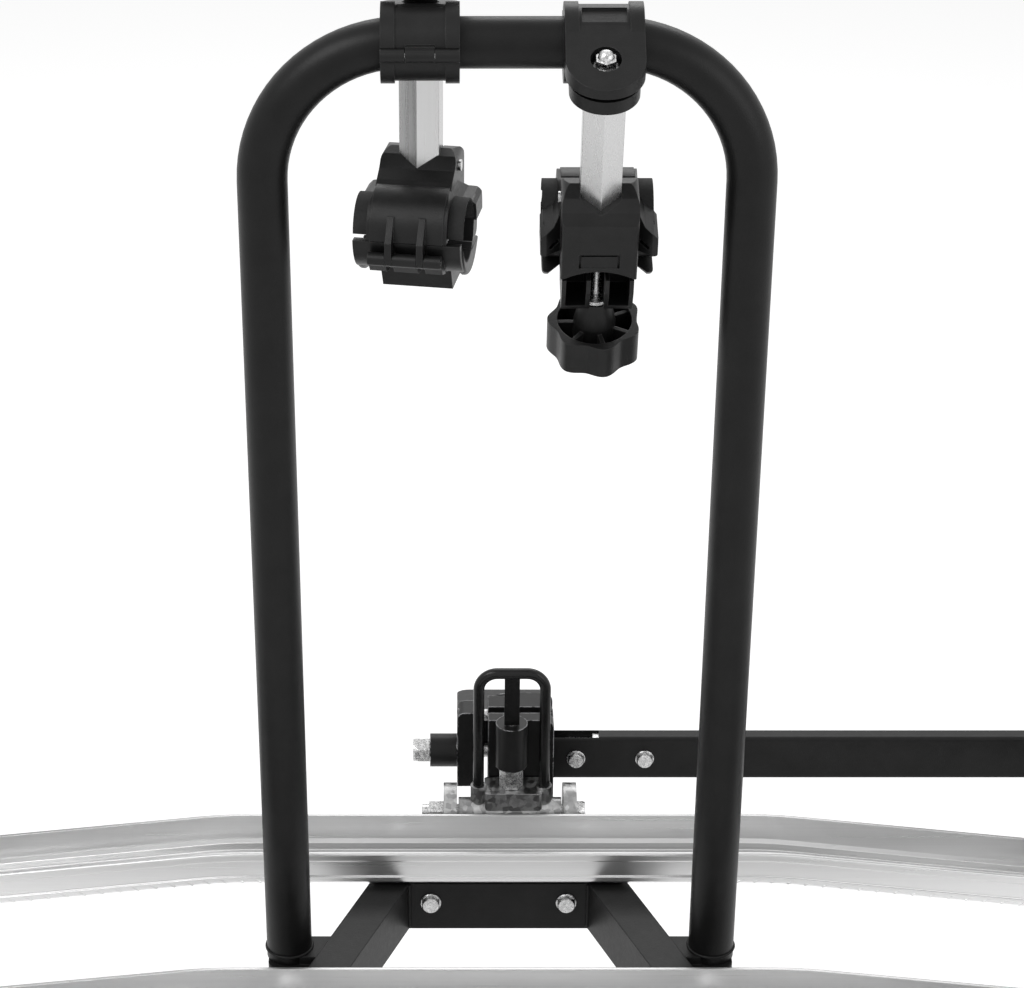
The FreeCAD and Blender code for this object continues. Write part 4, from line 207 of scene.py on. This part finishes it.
def moulded_plastic(name, dark, light, roughness, grain):
    """Moulded plastic: spark-eroded grain, edges rubbed a little lighter."""
    n = Nodes(name)
    tone = n.ramp(n.noise(60.0, 4.0), [(0.3, dark), (0.75, light)])
    edges = n.edge_wear(radius=0.0011, low=0.03, high=0.2)
    n.set("Base Color", n.mix(edges, tone, grey(light * 2.2 + 0.01)))
    n.set("Roughness", n.around(n.noise(300.0), roughness, 0.06, 0.08))
    n.set("Specular IOR Level", 0.24)
    n.set("Normal", n.bump(n.cells(grain)["Distance"], 0.00018, 0.4, 0.0008))
    return n.material


def plated_steel(name, dark, light, roughness, spangle):
    """Zinc plating or galvanising: bright and matt spangles with a rough skin."""
    n = Nodes(name)
    grains = n.add("ShaderNodeSeparateColor", Color=n.cells(spangle)["Color"]).outputs["Red"]
    blotched = n.math("MULTIPLY", grains, n.noise(spangle * 0.45, 5.0, 0.7))
    n.set("Base Color", n.ramp(blotched, [(0.08, dark), (0.5, light)]))
    n.set("Metallic", 1.0)
    n.set("Roughness", n.around(grains, roughness, 0.08, 0.16))
    n.set("Normal", n.bump(n.noise(spangle * 2.4, 3.0), 0.0003, 0.35, 0.0006))
    return n.material


def drawn_aluminium(name, tone, upward_shade, roughness, streaks, edge_radius):
    """Extruded aluminium: fine draw lines along the piece, with painted shade where it faces up."""
    n = Nodes(name)
    lines = n.noise(1.0, 3.0, 0.6, n.stretched(streaks))
    broad = n.noise(1.0, 2.0, 0.5, n.stretched(tuple(value * 0.12 for value in streaks)))
    bright = n.ramp(lines, [(0.3, tone * 0.95), (0.7, tone)])
    # Painted shade: faces that look up get this darker, mottled tone in place of the drawn one
    dark = n.ramp(broad, [(0.35, upward_shade * 0.75), (0.65, upward_shade * 1.25)])
    upward = n.add("ShaderNodeSeparateXYZ", Vector=n.facing).outputs["Z"]
    n.set("Base Color", n.mix(n.ramp(upward, [(0.55, 0.0), (0.9, 1.0)]), bright, dark))
    n.set("Metallic", 0.88)
    n.set("Roughness", n.around(lines, roughness, 0.05, 0.08))
    n.set("Anisotropic", 0.35)
    n.set("Normal", n.bump(lines, 0.00005, 0.1, edge_radius))
    return n.material


def soft_rubber(name):
    """Matt black rubber with a fine rough skin."""
    n = Nodes(name)
    n.set("Base Color", n.ramp(n.noise(90.0, 4.0), [(0.3, 0.006), (0.8, 0.014)]))
    n.set("Roughness", n.spread(n.noise(500.0), 0.72, 0.88))
    n.set("Normal", n.bump(n.noise(1400.0, 2.0), 0.00015, 0.4, 0.0006))
    return n.material


def strap_plastic(name):
    """The straps' tough black plastic, smoother than the rubber."""
    n = Nodes(name)
    n.set("Base Color", n.ramp(n.noise(120.0, 3.0), [(0.3, 0.008), (0.8, 0.016)]))
    n.set("Roughness", n.spread(n.noise(260.0), 0.38, 0.5))
    n.set("Normal", n.bump(n.noise(900.0, 2.0), 0.00012, 0.3, 0.0005))
    return n.material


def lens_plastic(name, colour, deep):
    """Coloured lens: upright prisms crossed by a fine horizontal rib."""
    n = Nodes(name)
    waves = [n.add("ShaderNodeTexWave", {"bands_direction": direction}, Vector=n.coords, Scale=scale)
             for direction, scale in (("X", 52.0), ("Z", 26.0))]
    ribs = n.math("ADD", waves[0].outputs["Fac"], waves[1].outputs["Fac"])
    n.set("Base Color", n.mix(n.spread(ribs, 0.0, 0.6), colour, deep))
    n.set("Roughness", n.spread(n.noise(200.0), 0.06, 0.14))
    n.set("IOR", 1.49)
    n.set("Transmission Weight", 0.45)
    n.set("Normal", n.bump(ribs, 0.0009, 0.8, 0.0012))
    return n.material


RED, DEEP_RED = (0.62, 0.012, 0.012, 1.0), (0.22, 0.0, 0.0, 1.0)
AMBER, DEEP_AMBER = (0.9, 0.3, 0.02, 1.0), (0.5, 0.12, 0.0, 1.0)
MATERIALS = {
    "black_steel": coated_steel("black_steel", dark=0.006, light=0.012, roughness=0.42, grain=850.0,
                                edge_radius=0.0014, shine=0.2),
    "satin_black_tube": coated_steel("satin_black_tube", dark=0.005, light=0.010, roughness=0.38,
                                     grain=900.0, edge_radius=0.0008, shine=0.2),
    "gloss_black_wire": coated_steel("gloss_black_wire", dark=0.004, light=0.007, roughness=0.24,
                                     grain=300.0, edge_radius=0.0006, shine=0.3),
    "black_plastic": moulded_plastic("black_plastic", dark=0.007, light=0.013, roughness=0.36,
                                     grain=1500.0),
    "strap_plastic": strap_plastic("strap_plastic"),
    "zinc_steel": plated_steel("zinc_steel", dark=0.42, light=0.78, roughness=0.24, spangle=900.0),
    "galvanised_steel": plated_steel("galvanised_steel", dark=0.26, light=0.5, roughness=0.36,
                                     spangle=230.0),
    "aluminium_rail": drawn_aluminium("aluminium_rail", tone=0.84, upward_shade=0.4, roughness=0.28,
                                      streaks=(3.0, 420.0, 420.0), edge_radius=0.0008),
    "aluminium_tube": drawn_aluminium("aluminium_tube", tone=0.62, upward_shade=0.5, roughness=0.26,
                                      streaks=(260.0, 260.0, 4.0), edge_radius=0.0007),
    "rubber": soft_rubber("rubber"),
    "red_lens": lens_plastic("red_lens", RED, DEEP_RED),
    "amber_lens": lens_plastic("amber_lens", AMBER, DEEP_AMBER),
}

# The coupling's castings wear their own chipped coat
WORN_STEEL = coated_steel("worn_black_steel", dark=0.006, light=0.012, roughness=0.4, grain=700.0,
                          edge_radius=0.0012, shine=0.22, worn=True)
WORN_NODES = ("coupling_body", "ball_cheek")

for subpart in frame["record"]["subparts"]:
    slots = frame["nodes"][subpart["node"]].data.materials
    slots.clear()
    slots.append(WORN_STEEL if subpart["node"] in WORN_NODES else MATERIALS[subpart["material_slot"]])


# Detail pieces

SHARP_ANGLE = math.radians(40.0)


class Detail:
    """One mesh built up from swept tubes and turned rings, riding on one body."""

    def __init__(self, name, body, slot):
        self.name, self.body, self.slot = name, body, slot
        self.points, self.faces = [], []

    def ring(self, points):
        """Add a ring of points and give back their indices."""
        first = len(self.points)
        self.points.extend(tuple(point) for point in points)
        return list(range(first, len(self.points)))

    def join(self, first, second):
        """Faces between two rings of as many points."""
        for k in range(len(first)):
            after = (k + 1) % len(first)
            self.faces.append((first[k], first[after], second[after], second[k]))

    def skin(self, rings, closed):
        """Join rings one after another, and close the row into a loop or with an end face each."""
        for first, second in zip(rings, rings[1:]):
            self.join(first, second)
        if closed:
            self.join(rings[-1], rings[0])
        else:
            self.faces.append(tuple(reversed(rings[0])))
            self.faces.append(tuple(rings[-1]))

    def tube(self, path, radius, sides=8, closed=False):
        """Sweep a circle along a path; radius is a number or a function of the point's index."""
        size = radius if callable(radius) else lambda index: radius
        last = len(path) - 1
        tangents = []
        for index in range(len(path)):
            before = path[index - 1] if index or closed else path[0]
            after = path[0] if closed and index == last else path[min(index + 1, last)]
            tangents.append((after - before).normalized())
        normal = tangents[0].orthogonal().normalized()
        angles = [2 * math.pi * k / sides for k in range(sides)]
        rings = []
        for index, point in enumerate(path):
            if index:
                turn = tangents[index - 1].rotation_difference(tangents[index])
                normal = (turn @ normal).normalized()
            across = tangents[index].cross(normal)
            rings.append(self.ring(point + (normal * math.cos(a) + across * math.sin(a)) * size(index)
                                   for a in angles))
        self.skin(rings, closed)

    def turned(self, centre, axis, profile, segments=40):
        """Turn a closed profile of (radius, height) corners about an axis."""
        axis = Vector(axis).normalized()
        side = axis.orthogonal().normalized()
        across = axis.cross(side)
        rings = []
        for k in range(segments):
            a = 2 * math.pi * k / segments
            out = side * math.cos(a) + across * math.sin(a)
            rings.append(self.ring(Vector(centre) + out * r + axis * h for r, h in profile))
        self.skin(rings, closed=True)

    def place(self):
        """Make the mesh, with its sharp edges kept, and let it ride on its body."""
        mesh = bpy.data.meshes.new(self.name)
        mesh.from_pydata(self.points, [], self.faces)
        shape = bmesh.new()
        shape.from_mesh(mesh)
        bmesh.ops.recalc_face_normals(shape, faces=shape.faces)
        shape.to_mesh(mesh)
        shape.free()
        mesh.shade_smooth()
        mesh.set_sharp_from_angle(angle=SHARP_ANGLE)
        mesh.materials.append(MATERIALS[self.slot])
        piece = bpy.data.objects.new(self.name, mesh)
        bpy.context.scene.collection.objects.link(piece)
        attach(piece, self.body)


def between(start, end, step):
    """Points from start to end, about a step apart."""
    start, end = Vector(start), Vector(end)
    count = max(2, round((end - start).length / step))
    return [start.lerp(end, k / count) for k in range(count + 1)]


# Rails: rim beads, a line along each side, floor ribs and the wrinkles of the bent ends

RAIL_STOPS = 160          # steps along half a rail
RAIL_END_GAP = 0.004
RIM_BEAD_RADIUS = 0.0014
RIM_BEAD_INSET = RIM_BEAD_RADIUS * 0.9
RIM_BEAD_SIDES = 10
SIDE_LINE_DROP = 0.0222
SIDE_LINE_RADIUS = RIM_BEAD_RADIUS * 0.5
SIDE_LINE_INSET = 0.0004
FLOOR_RIB_RADIUS = 0.0012
FLOOR_RIB_PLACES = (0.0085, 0.0175)
WRINKLE_PERIOD = 0.0145
WRINKLE_SLANT = 0.006
WRINKLE_TOP, WRINKLE_BOTTOM = 0.0232, 0.0272
WRINKLE_RADIUS = 0.0009
WRINKLE_STEP = 0.0012
WRINKLE_INSET = 0.0003
WRINKLE_SIDES = 6
WRINKLES_START = RAIL_STRAIGHT - 0.010
WRINKLES_END_GAP = 0.020


def rail_point(side, distance, y, drop):
    """A point on a rail: distance along it from the middle, and drop below its rim."""
    if distance < RAIL_STRAIGHT:
        x, z, angle = distance, 0.0, 0.0
    else:
        angle = min((distance - RAIL_STRAIGHT) / RAIL_BEND_RADIUS, RAIL_BEND_ANGLE)
        beyond = max(0.0, distance - RAIL_STRAIGHT - RAIL_BEND_RADIUS * RAIL_BEND_ANGLE)
        x = RAIL_STRAIGHT + RAIL_BEND_RADIUS * math.sin(angle) + beyond * math.cos(angle)
        z = -RAIL_BEND_RADIUS * (1.0 - math.cos(angle)) - beyond * math.sin(angle)
    x -= drop * math.sin(angle)
    return Vector((FRAME_X + side * x, y, RAIL_TOP + z - drop * math.cos(angle)))


def rail_line(y, drop):
    """Points from a rail's left end to its right end."""
    reach = RAIL_HALF_LENGTH - RAIL_END_GAP
    stops = [reach * k / RAIL_STOPS for k in range(RAIL_STOPS + 1)]
    left = [rail_point(-1, stop, y, drop) for stop in reversed(stops[1:])]
    return left + [rail_point(1, stop, y, drop) for stop in stops]


def wrinkle_size(index):
    """A wrinkle's radius along its length: full near its lower end and thin at its upper end."""
    return WRINKLE_RADIUS * (0.5 + 0.5 * math.sin(min(index + 1, 5) * 0.6))


def make_rail_details(row, y):
    """The beads, floor ribs and wrinkles of the rail whose middle line lies at y."""
    beads = Detail(row + "_beads", "platform", "aluminium_rail")
    ribs = Detail(row + "_floor_ribs", "platform", "aluminium_rail")
    for half in (-1, 1):
        rim = y + half * (RAIL_HALF_WIDTH - RIM_BEAD_INSET)
        beads.tube(rail_line(rim, RIM_BEAD_RADIUS), RIM_BEAD_RADIUS, RIM_BEAD_SIDES)
        wall = y + half * (RAIL_HALF_WIDTH - SIDE_LINE_INSET)
        beads.tube(rail_line(wall, SIDE_LINE_DROP), SIDE_LINE_RADIUS)
        for place in FLOOR_RIB_PLACES:
            ribs.tube(rail_line(y + half * place, RAIL_DEPTH - RAIL_FLOOR), FLOOR_RIB_RADIUS)
    beads.place()
    ribs.place()
    wrinkles = Detail(row + "_wrinkles", "platform", "aluminium_rail")
    face = y - RAIL_HALF_WIDTH + WRINKLE_INSET
    for side in (-1, 1):
        distance = WRINKLES_START
        while distance < RAIL_HALF_LENGTH - RAIL_END_GAP - WRINKLES_END_GAP:
            low = rail_point(side, distance, face, WRINKLE_BOTTOM)
            high = rail_point(side, distance + WRINKLE_SLANT, face, WRINKLE_TOP)
            wrinkles.tube(between(low, high, WRINKLE_STEP), wrinkle_size, WRINKLE_SIDES)
            distance += WRINKLE_PERIOD
    wrinkles.place()


# Weld beads of the frame and the upright's feet

WELD_STEP = 0.0009
WELD_PERIOD = 4           # steps from one ripple of a bead to the next
WELD_BASE = 0.86          # shares of a bead's radius: its base, its ripples and its slow wander
WELD_RIPPLE = 0.2
WELD_WANDER = 0.08
WANDER_TURN = 0.37        # radians of the wander in one step
FRAME_WELD = 0.0019
FOOT_WELD = 0.0012
FOOT_WELD_LIFT = 0.0006
FOOT_WELD_GAP = 0.0002
BRACE_WELD_SHIFT = 0.001
WELD_TOP = ARM_TOP - 0.001
BACK_WELD_BOTTOM = FRAME_BOTTOM + 0.002
FRONT_WELD_BOTTOM = FRAME_BOTTOM + 0.003


def weld_size(radius):
    """A bead's radius along its length, swelling once in each ripple."""
    return lambda index: radius * (
        WELD_BASE + WELD_RIPPLE * math.sin(2 * math.pi * index / WELD_PERIOD) ** 2
        + WELD_WANDER * math.sin(index * WANDER_TURN))


def arm_faces(y, side):
    """The x of an arm's inner and outer face at a given y."""
    centre = ARM_FRONT_HALF + (ARM_FRONT - y) * math.tan(ARM_ANGLE)
    half = ARM_WIDTH / 2 / math.cos(ARM_ANGLE)
    return FRAME_X + side * (centre - half), FRAME_X + side * (centre + half)


def make_welds():
    """Beads where the arms meet the brace, the rear bar and the fork, and round the feet."""
    welds = Detail("frame_welds", "platform", "black_steel")

    def weld(start, end):
        welds.tube(between(start, end, WELD_STEP), weld_size(FRAME_WELD))

    for side in (-1, 1):
        x, _ = arm_faces(BRACE_BACK, side)
        weld((x, BRACE_BACK, BACK_WELD_BOTTOM), (x, BRACE_BACK, WELD_TOP))
        weld((x, BRACE_BACK + BRACE_WELD_SHIFT, ARM_TOP),
             (arm_faces(BRACE_FRONT, side)[0], BRACE_FRONT, ARM_TOP))
        inner, outer = arm_faces(REAR_BAR_FRONT, side)
        corners = [(inner, BACK_WELD_BOTTOM), (inner, REAR_BAR_TOP), (outer, REAR_BAR_TOP),
                   (outer, BACK_WELD_BOTTOM)]
        for (x1, z1), (x2, z2) in zip(corners, corners[1:]):
            weld((x1, REAR_BAR_FRONT, z1), (x2, REAR_BAR_FRONT, z2))
        inner, outer = arm_faces(ARM_FRONT, side)
        for x in (inner, outer):
            weld((x, ARM_FRONT, FRONT_WELD_BOTTOM), (x, ARM_FRONT, WELD_TOP))
        weld((inner, ARM_FRONT, ARM_TOP), (outer, ARM_FRONT, ARM_TOP))
        foot = Vector((FRAME_X + side * FOOT_HALF_SPREAD, UPRIGHT_Y, FOOT_TOP + FOOT_WELD_LIFT))
        radius = UPRIGHT_TUBE_RADIUS + FOOT_WELD_GAP
        ripples = round(2 * math.pi * radius / WELD_STEP / WELD_PERIOD)
        count = WELD_PERIOD * ripples
        loop = [foot + Vector((math.cos(a), math.sin(a), 0.0)) * radius
                for a in (2 * math.pi * k / count for k in range(count))]
        welds.tube(loop, weld_size(FOOT_WELD), closed=True)
    welds.place()


# Washers under the lever's and the brace's bolt heads

WASHER_THICKNESS = 0.0012
WASHER_EDGE = WASHER_THICKNESS * 0.35     # what its rim's edge is cut off by
LEVER_WASHER = (0.0066, 0.0079)
BRACE_WASHER = (0.0068, 0.0084)


def make_washers(name, body, places, face_y, radii):
    """Washers that stand on a face and look away from the car, with their bore and rim radius."""
    bore, rim = radii
    profile = [(bore, 0.0), (rim, 0.0), (rim, WASHER_THICKNESS - WASHER_EDGE),
               (rim - WASHER_EDGE, WASHER_THICKNESS), (bore, WASHER_THICKNESS)]
    washers = Detail(name, body, "zinc_steel")
    for x, z in places:
        washers.turned((x, face_y, z), (0, -1, 0), profile)
    washers.place()


# The right arm's thread, where the rod shows below its jaw

THREAD_PITCH = 0.00125
THREAD_CORE = 0.00378
THREAD_SIZE = 0.0004
THREAD_DEPTH = 0.139      # down the arm from the top tube's axis
THREAD_LENGTH = 0.084
THREAD_STEPS = 18         # points in one turn
THREAD_SIDES = 6


def helix(start, direction, radius, pitch, length, steps):
    """Points on a helix about the line that leaves start in the given direction."""
    side = direction.orthogonal().normalized()
    across = direction.cross(side)
    path = []
    for k in range(round(length / pitch * steps) + 1):
        a = 2 * math.pi * k / steps
        path.append(start + direction * (pitch * k / steps)
                    + (side * math.cos(a) + across * math.sin(a)) * radius)
    return path


def make_rod_thread():
    down = (RIGHT_ARM.to_3x3() @ Vector((0.0, 0.0, -1.0))).normalized()
    top = RIGHT_ARM @ Vector((0.0, ROD_OFFSET, -THREAD_DEPTH))
    thread = Detail("right_rod_thread", "right_clamp", "zinc_steel")
    turns = helix(top, down, THREAD_CORE, THREAD_PITCH, THREAD_LENGTH, THREAD_STEPS)
    thread.tube(turns, THREAD_SIZE, THREAD_SIDES)
    thread.place()


# Rubber liners of the jaws

LINER_HALF_LENGTH = 0.0385
LINER_OUTER_RADIUS = BIKE_HOLE_RADIUS - 0.0001
LINER_THICKNESS = 0.0014
LINER_CHAMFER = (0.0008, 0.0006)     # along the bore and towards its axis
LINER_TOOTH = 0.0010
LINER_TEETH = 17
LINER_STEPS = 6           # steps round the bore for each tooth
LINER_PHASE = -0.5        # radians, where the first tooth begins
LINER_CREST = 0.6         # below 1 it flattens the teeth's crests
UPPER_LINER = (2.0, 178.0)
LOWER_LINER = (204.0, 316.0)         # clear of the jaw body when the door opens


def make_liner(name, body, arm, span):
    """A rubber liner in a part of a jaw's bore, with low teeth that run along it."""
    liner = Detail(name, body, "rubber")
    low, high = span
    steps = LINER_TEETH * LINER_STEPS
    along, across = LINER_CHAMFER
    rings = []
    for k in range(steps + 1):
        angle = math.radians(low + (high - low) * k / steps)
        wave = max(0.0, math.sin(2 * math.pi * LINER_TEETH * k / steps + LINER_PHASE))
        inner = LINER_OUTER_RADIUS - LINER_THICKNESS - LINER_TOOTH * wave ** LINER_CREST
        half = [(LINER_HALF_LENGTH, LINER_OUTER_RADIUS), (LINER_HALF_LENGTH, inner + across),
                (LINER_HALF_LENGTH - along, inner)]
        corners = [(-LINER_HALF_LENGTH, LINER_OUTER_RADIUS)] + half
        corners += [(-x, r) for x, r in reversed(half[1:])]
        out = Vector((0.0, math.cos(angle), math.sin(angle)))
        rings.append(liner.ring(arm @ (BIKE_HOLE + out * r + Vector((x, 0.0, 0.0))) for x, r in corners))
    liner.skin(rings, closed=False)
    liner.place()


# The lamp board's gland ribs and screws

GLAND_RIBS = 5
GLAND_RIB_START = 0.0022
GLAND_RIB_PERIOD = 0.0026
GLAND_RIB_BORE = 0.0070
GLAND_RIB_RIM = 0.0081
GLAND_RIB_BASE = 0.0008   # half a rib's width at its bore, and near its rim
GLAND_RIB_TIP = 0.0006
GLAND_RIB_ROUND = 0.0003
GLAND_TAPER = 0.0004      # the rim loses this from one rib to the next
SCREW_SINK = 0.0002       # how far the plate's screws sit in it
SCREW_SEGMENTS = 24
SCREW_HEAD = [(0.0004, 0.0), (0.0042, 0.0), (0.0042, 0.0006), (0.0030, 0.0016), (0.0012, 0.0020),
              (0.0004, 0.0012)]
PLATE_SCREW_HALF = 0.255
PLATE_SCREW_ROWS = (-0.068, -0.168)
LAMP_SCREW_HALVES = (0.262, 0.502)
LAMP_SCREW_ROWS = (-0.073, -0.163)


def make_gland_ribs():
    """Ribs round the gland's soft spout, each a little smaller than the one before."""
    gland = Detail("gland_ribs", "platform", "black_plastic")
    for k in range(GLAND_RIBS):
        centre = GLAND + Vector((0.0, GLAND_RIB_START + GLAND_RIB_PERIOD * k, 0.0))
        rim = GLAND_RIB_RIM - GLAND_TAPER * k
        shoulder = rim - GLAND_RIB_ROUND
        profile = [(GLAND_RIB_BORE, -GLAND_RIB_BASE), (shoulder, -GLAND_RIB_TIP), (rim, 0.0),
                   (shoulder, GLAND_RIB_TIP), (GLAND_RIB_BORE, GLAND_RIB_BASE)]
        gland.turned(centre, (0, 1, 0), profile)
    gland.place()


def make_board_screws():
    """Dished screws that hold the lamps and the plate holder to the board."""
    screws = Detail("board_screws", "platform", "zinc_steel")
    plate = [(FRAME_X + x, z) for x in (-PLATE_SCREW_HALF, PLATE_SCREW_HALF) for z in PLATE_SCREW_ROWS]
    lamps = [(FRAME_X + side * x, z) for side in (-1, 1) for x in LAMP_SCREW_HALVES
             for z in LAMP_SCREW_ROWS]
    for x, z in plate:
        screws.turned((x, PLATE_HOLDER_BACK_Y + SCREW_SINK, z), (0, -1, 0), SCREW_HEAD, SCREW_SEGMENTS)
    for x, z in plate + lamps:
        screws.turned((x, PANEL_BACK_Y, z), (0, 1, 0), SCREW_HEAD, SCREW_SEGMENTS)
    screws.place()


make_gland_ribs()
make_board_screws()
for rail_row, rail_y in RAIL_ROWS.items():
    make_rail_details(rail_row, rail_y)
make_welds()
make_washers("lever_washers", "lever", LEVER_BOLTS, LEVER_FACE_Y, LEVER_WASHER)
make_washers("brace_washers", "platform", BRACE_BOLTS, BRACE_BACK, BRACE_WASHER)
make_rod_thread()
for side_name, arm_frame in (("left", LEFT_ARM), ("right", RIGHT_ARM)):
    make_liner(side_name + "_upper_liner", side_name + "_swivel", arm_frame, UPPER_LINER)
    make_liner(side_name + "_lower_liner", side_name + "_door", arm_frame, LOWER_LINER)


# Stage, light and camera

FLOOR_Z = -0.45      # a tow ball stands about this high above the road
FLOOR_SIZE = 30.0
FLOOR_LIFT = 0.55    # what the floor's own light adds, so that it shows white
AMBIENT = 0.42
LAMP_AIM = (0.0, -0.25, 0.2)
BACK_LAMP_AIM = (0.0, -0.25, 0.3)
SENSOR_WIDTH = 36.0
LENS = 104.7
LENS_SHIFT_X = 0.0605
CAMERA_PLACE = (-0.0496, -2.185, 1.312)
CAMERA_DOWN = math.radians(26.6)
CLIP_END = 50.0


def brightest(tree, first, second):
    """The larger of two outputs, or of an output and a number."""
    node = tree.nodes.new("ShaderNodeMath")
    node.operation = "MAXIMUM"
    tree.links.new(first, node.inputs[0])
    if isinstance(second, bpy.types.NodeSocket):
        tree.links.new(second, node.inputs[1])
    else:
        node.inputs[1].default_value = second
    return node.outputs["Value"]


def make_floor():
    """A pale floor that shows white to the camera and in reflections, and keeps shadows."""
    material = bpy.data.materials.new("pale_floor")
    material.use_nodes = True
    tree = material.node_tree
    shader = tree.nodes["Principled BSDF"]
    shader.inputs["Base Color"].default_value = grey(0.8)
    shader.inputs["Roughness"].default_value = 0.9
    shader.inputs["Specular IOR Level"].default_value = 0.0
    shader.inputs["Emission Color"].default_value = grey(1.0)
    rays = tree.nodes.new("ShaderNodeLightPath").outputs
    lift = tree.nodes.new("ShaderNodeMath")
    lift.operation = "MULTIPLY"
    lift.inputs[1].default_value = FLOOR_LIFT
    tree.links.new(brightest(tree, rays["Is Camera Ray"], rays["Is Glossy Ray"]), lift.inputs[0])
    tree.links.new(lift.outputs["Value"], shader.inputs["Emission Strength"])
    mesh = bpy.data.meshes.new("floor")
    corners = [(x * FLOOR_SIZE, y * FLOOR_SIZE, FLOOR_Z)
               for x, y in ((-1, -1), (1, -1), (1, 1), (-1, 1))]
    mesh.from_pydata(corners, [], [(0, 1, 2, 3)])
    mesh.materials.append(material)
    floor = bpy.data.objects.new("floor", mesh)
    bpy.context.scene.collection.objects.link(floor)


def make_world():
    """White where it is seen, reflected or seen through, and an even soft light elsewhere."""
    world = bpy.data.worlds.new("studio")
    bpy.context.scene.world = world
    world.use_nodes = True
    tree = world.node_tree
    background = tree.nodes["Background"]
    background.inputs["Color"].default_value = grey(1.0)
    rays = tree.nodes.new("ShaderNodeLightPath").outputs
    strength = AMBIENT
    for ray in ("Is Camera Ray", "Is Glossy Ray", "Is Transmission Ray"):
        strength = brightest(tree, rays[ray], strength)
    tree.links.new(strength, background.inputs["Strength"])


def make_lamp(name, position, target, size, power):
    """A lamp with a wide rectangular face that looks at target."""
    data = bpy.data.lights.new(name, "AREA")
    data.shape = "RECTANGLE"
    data.size, data.size_y = size
    data.energy = power
    lamp = bpy.data.objects.new(name, data)
    lamp.location = position
    lamp.rotation_euler = (Vector(target) - Vector(position)).to_track_quat("-Z", "Y").to_euler()
    bpy.context.scene.collection.objects.link(lamp)


def make_camera():
    """The photograph's own view, as fitted to it."""
    data = bpy.data.cameras.new("photo_view")
    data.sensor_width = SENSOR_WIDTH
    data.lens = LENS
    data.shift_x = LENS_SHIFT_X
    data.clip_end = CLIP_END
    camera = bpy.data.objects.new("photo_view", data)
    camera.location = CAMERA_PLACE
    camera.rotation_euler = (math.radians(90.0) - CAMERA_DOWN, 0.0, 0.0)
    bpy.context.scene.collection.objects.link(camera)
    bpy.context.scene.camera = camera


make_world()
make_floor()
make_lamp("key", position=(-1.6, -1.5, 2.6), target=LAMP_AIM, size=(1.6, 1.2), power=34.0)
make_lamp("fill", position=(2.2, -1.8, 1.4), target=LAMP_AIM, size=(1.8, 1.8), power=16.0)
make_lamp("back", position=(0.3, 2.2, 2.2), target=BACK_LAMP_AIM, size=(2.2, 1.0), power=22.0)
make_camera()
bpy.context.scene.view_settings.view_transform = "Standard"
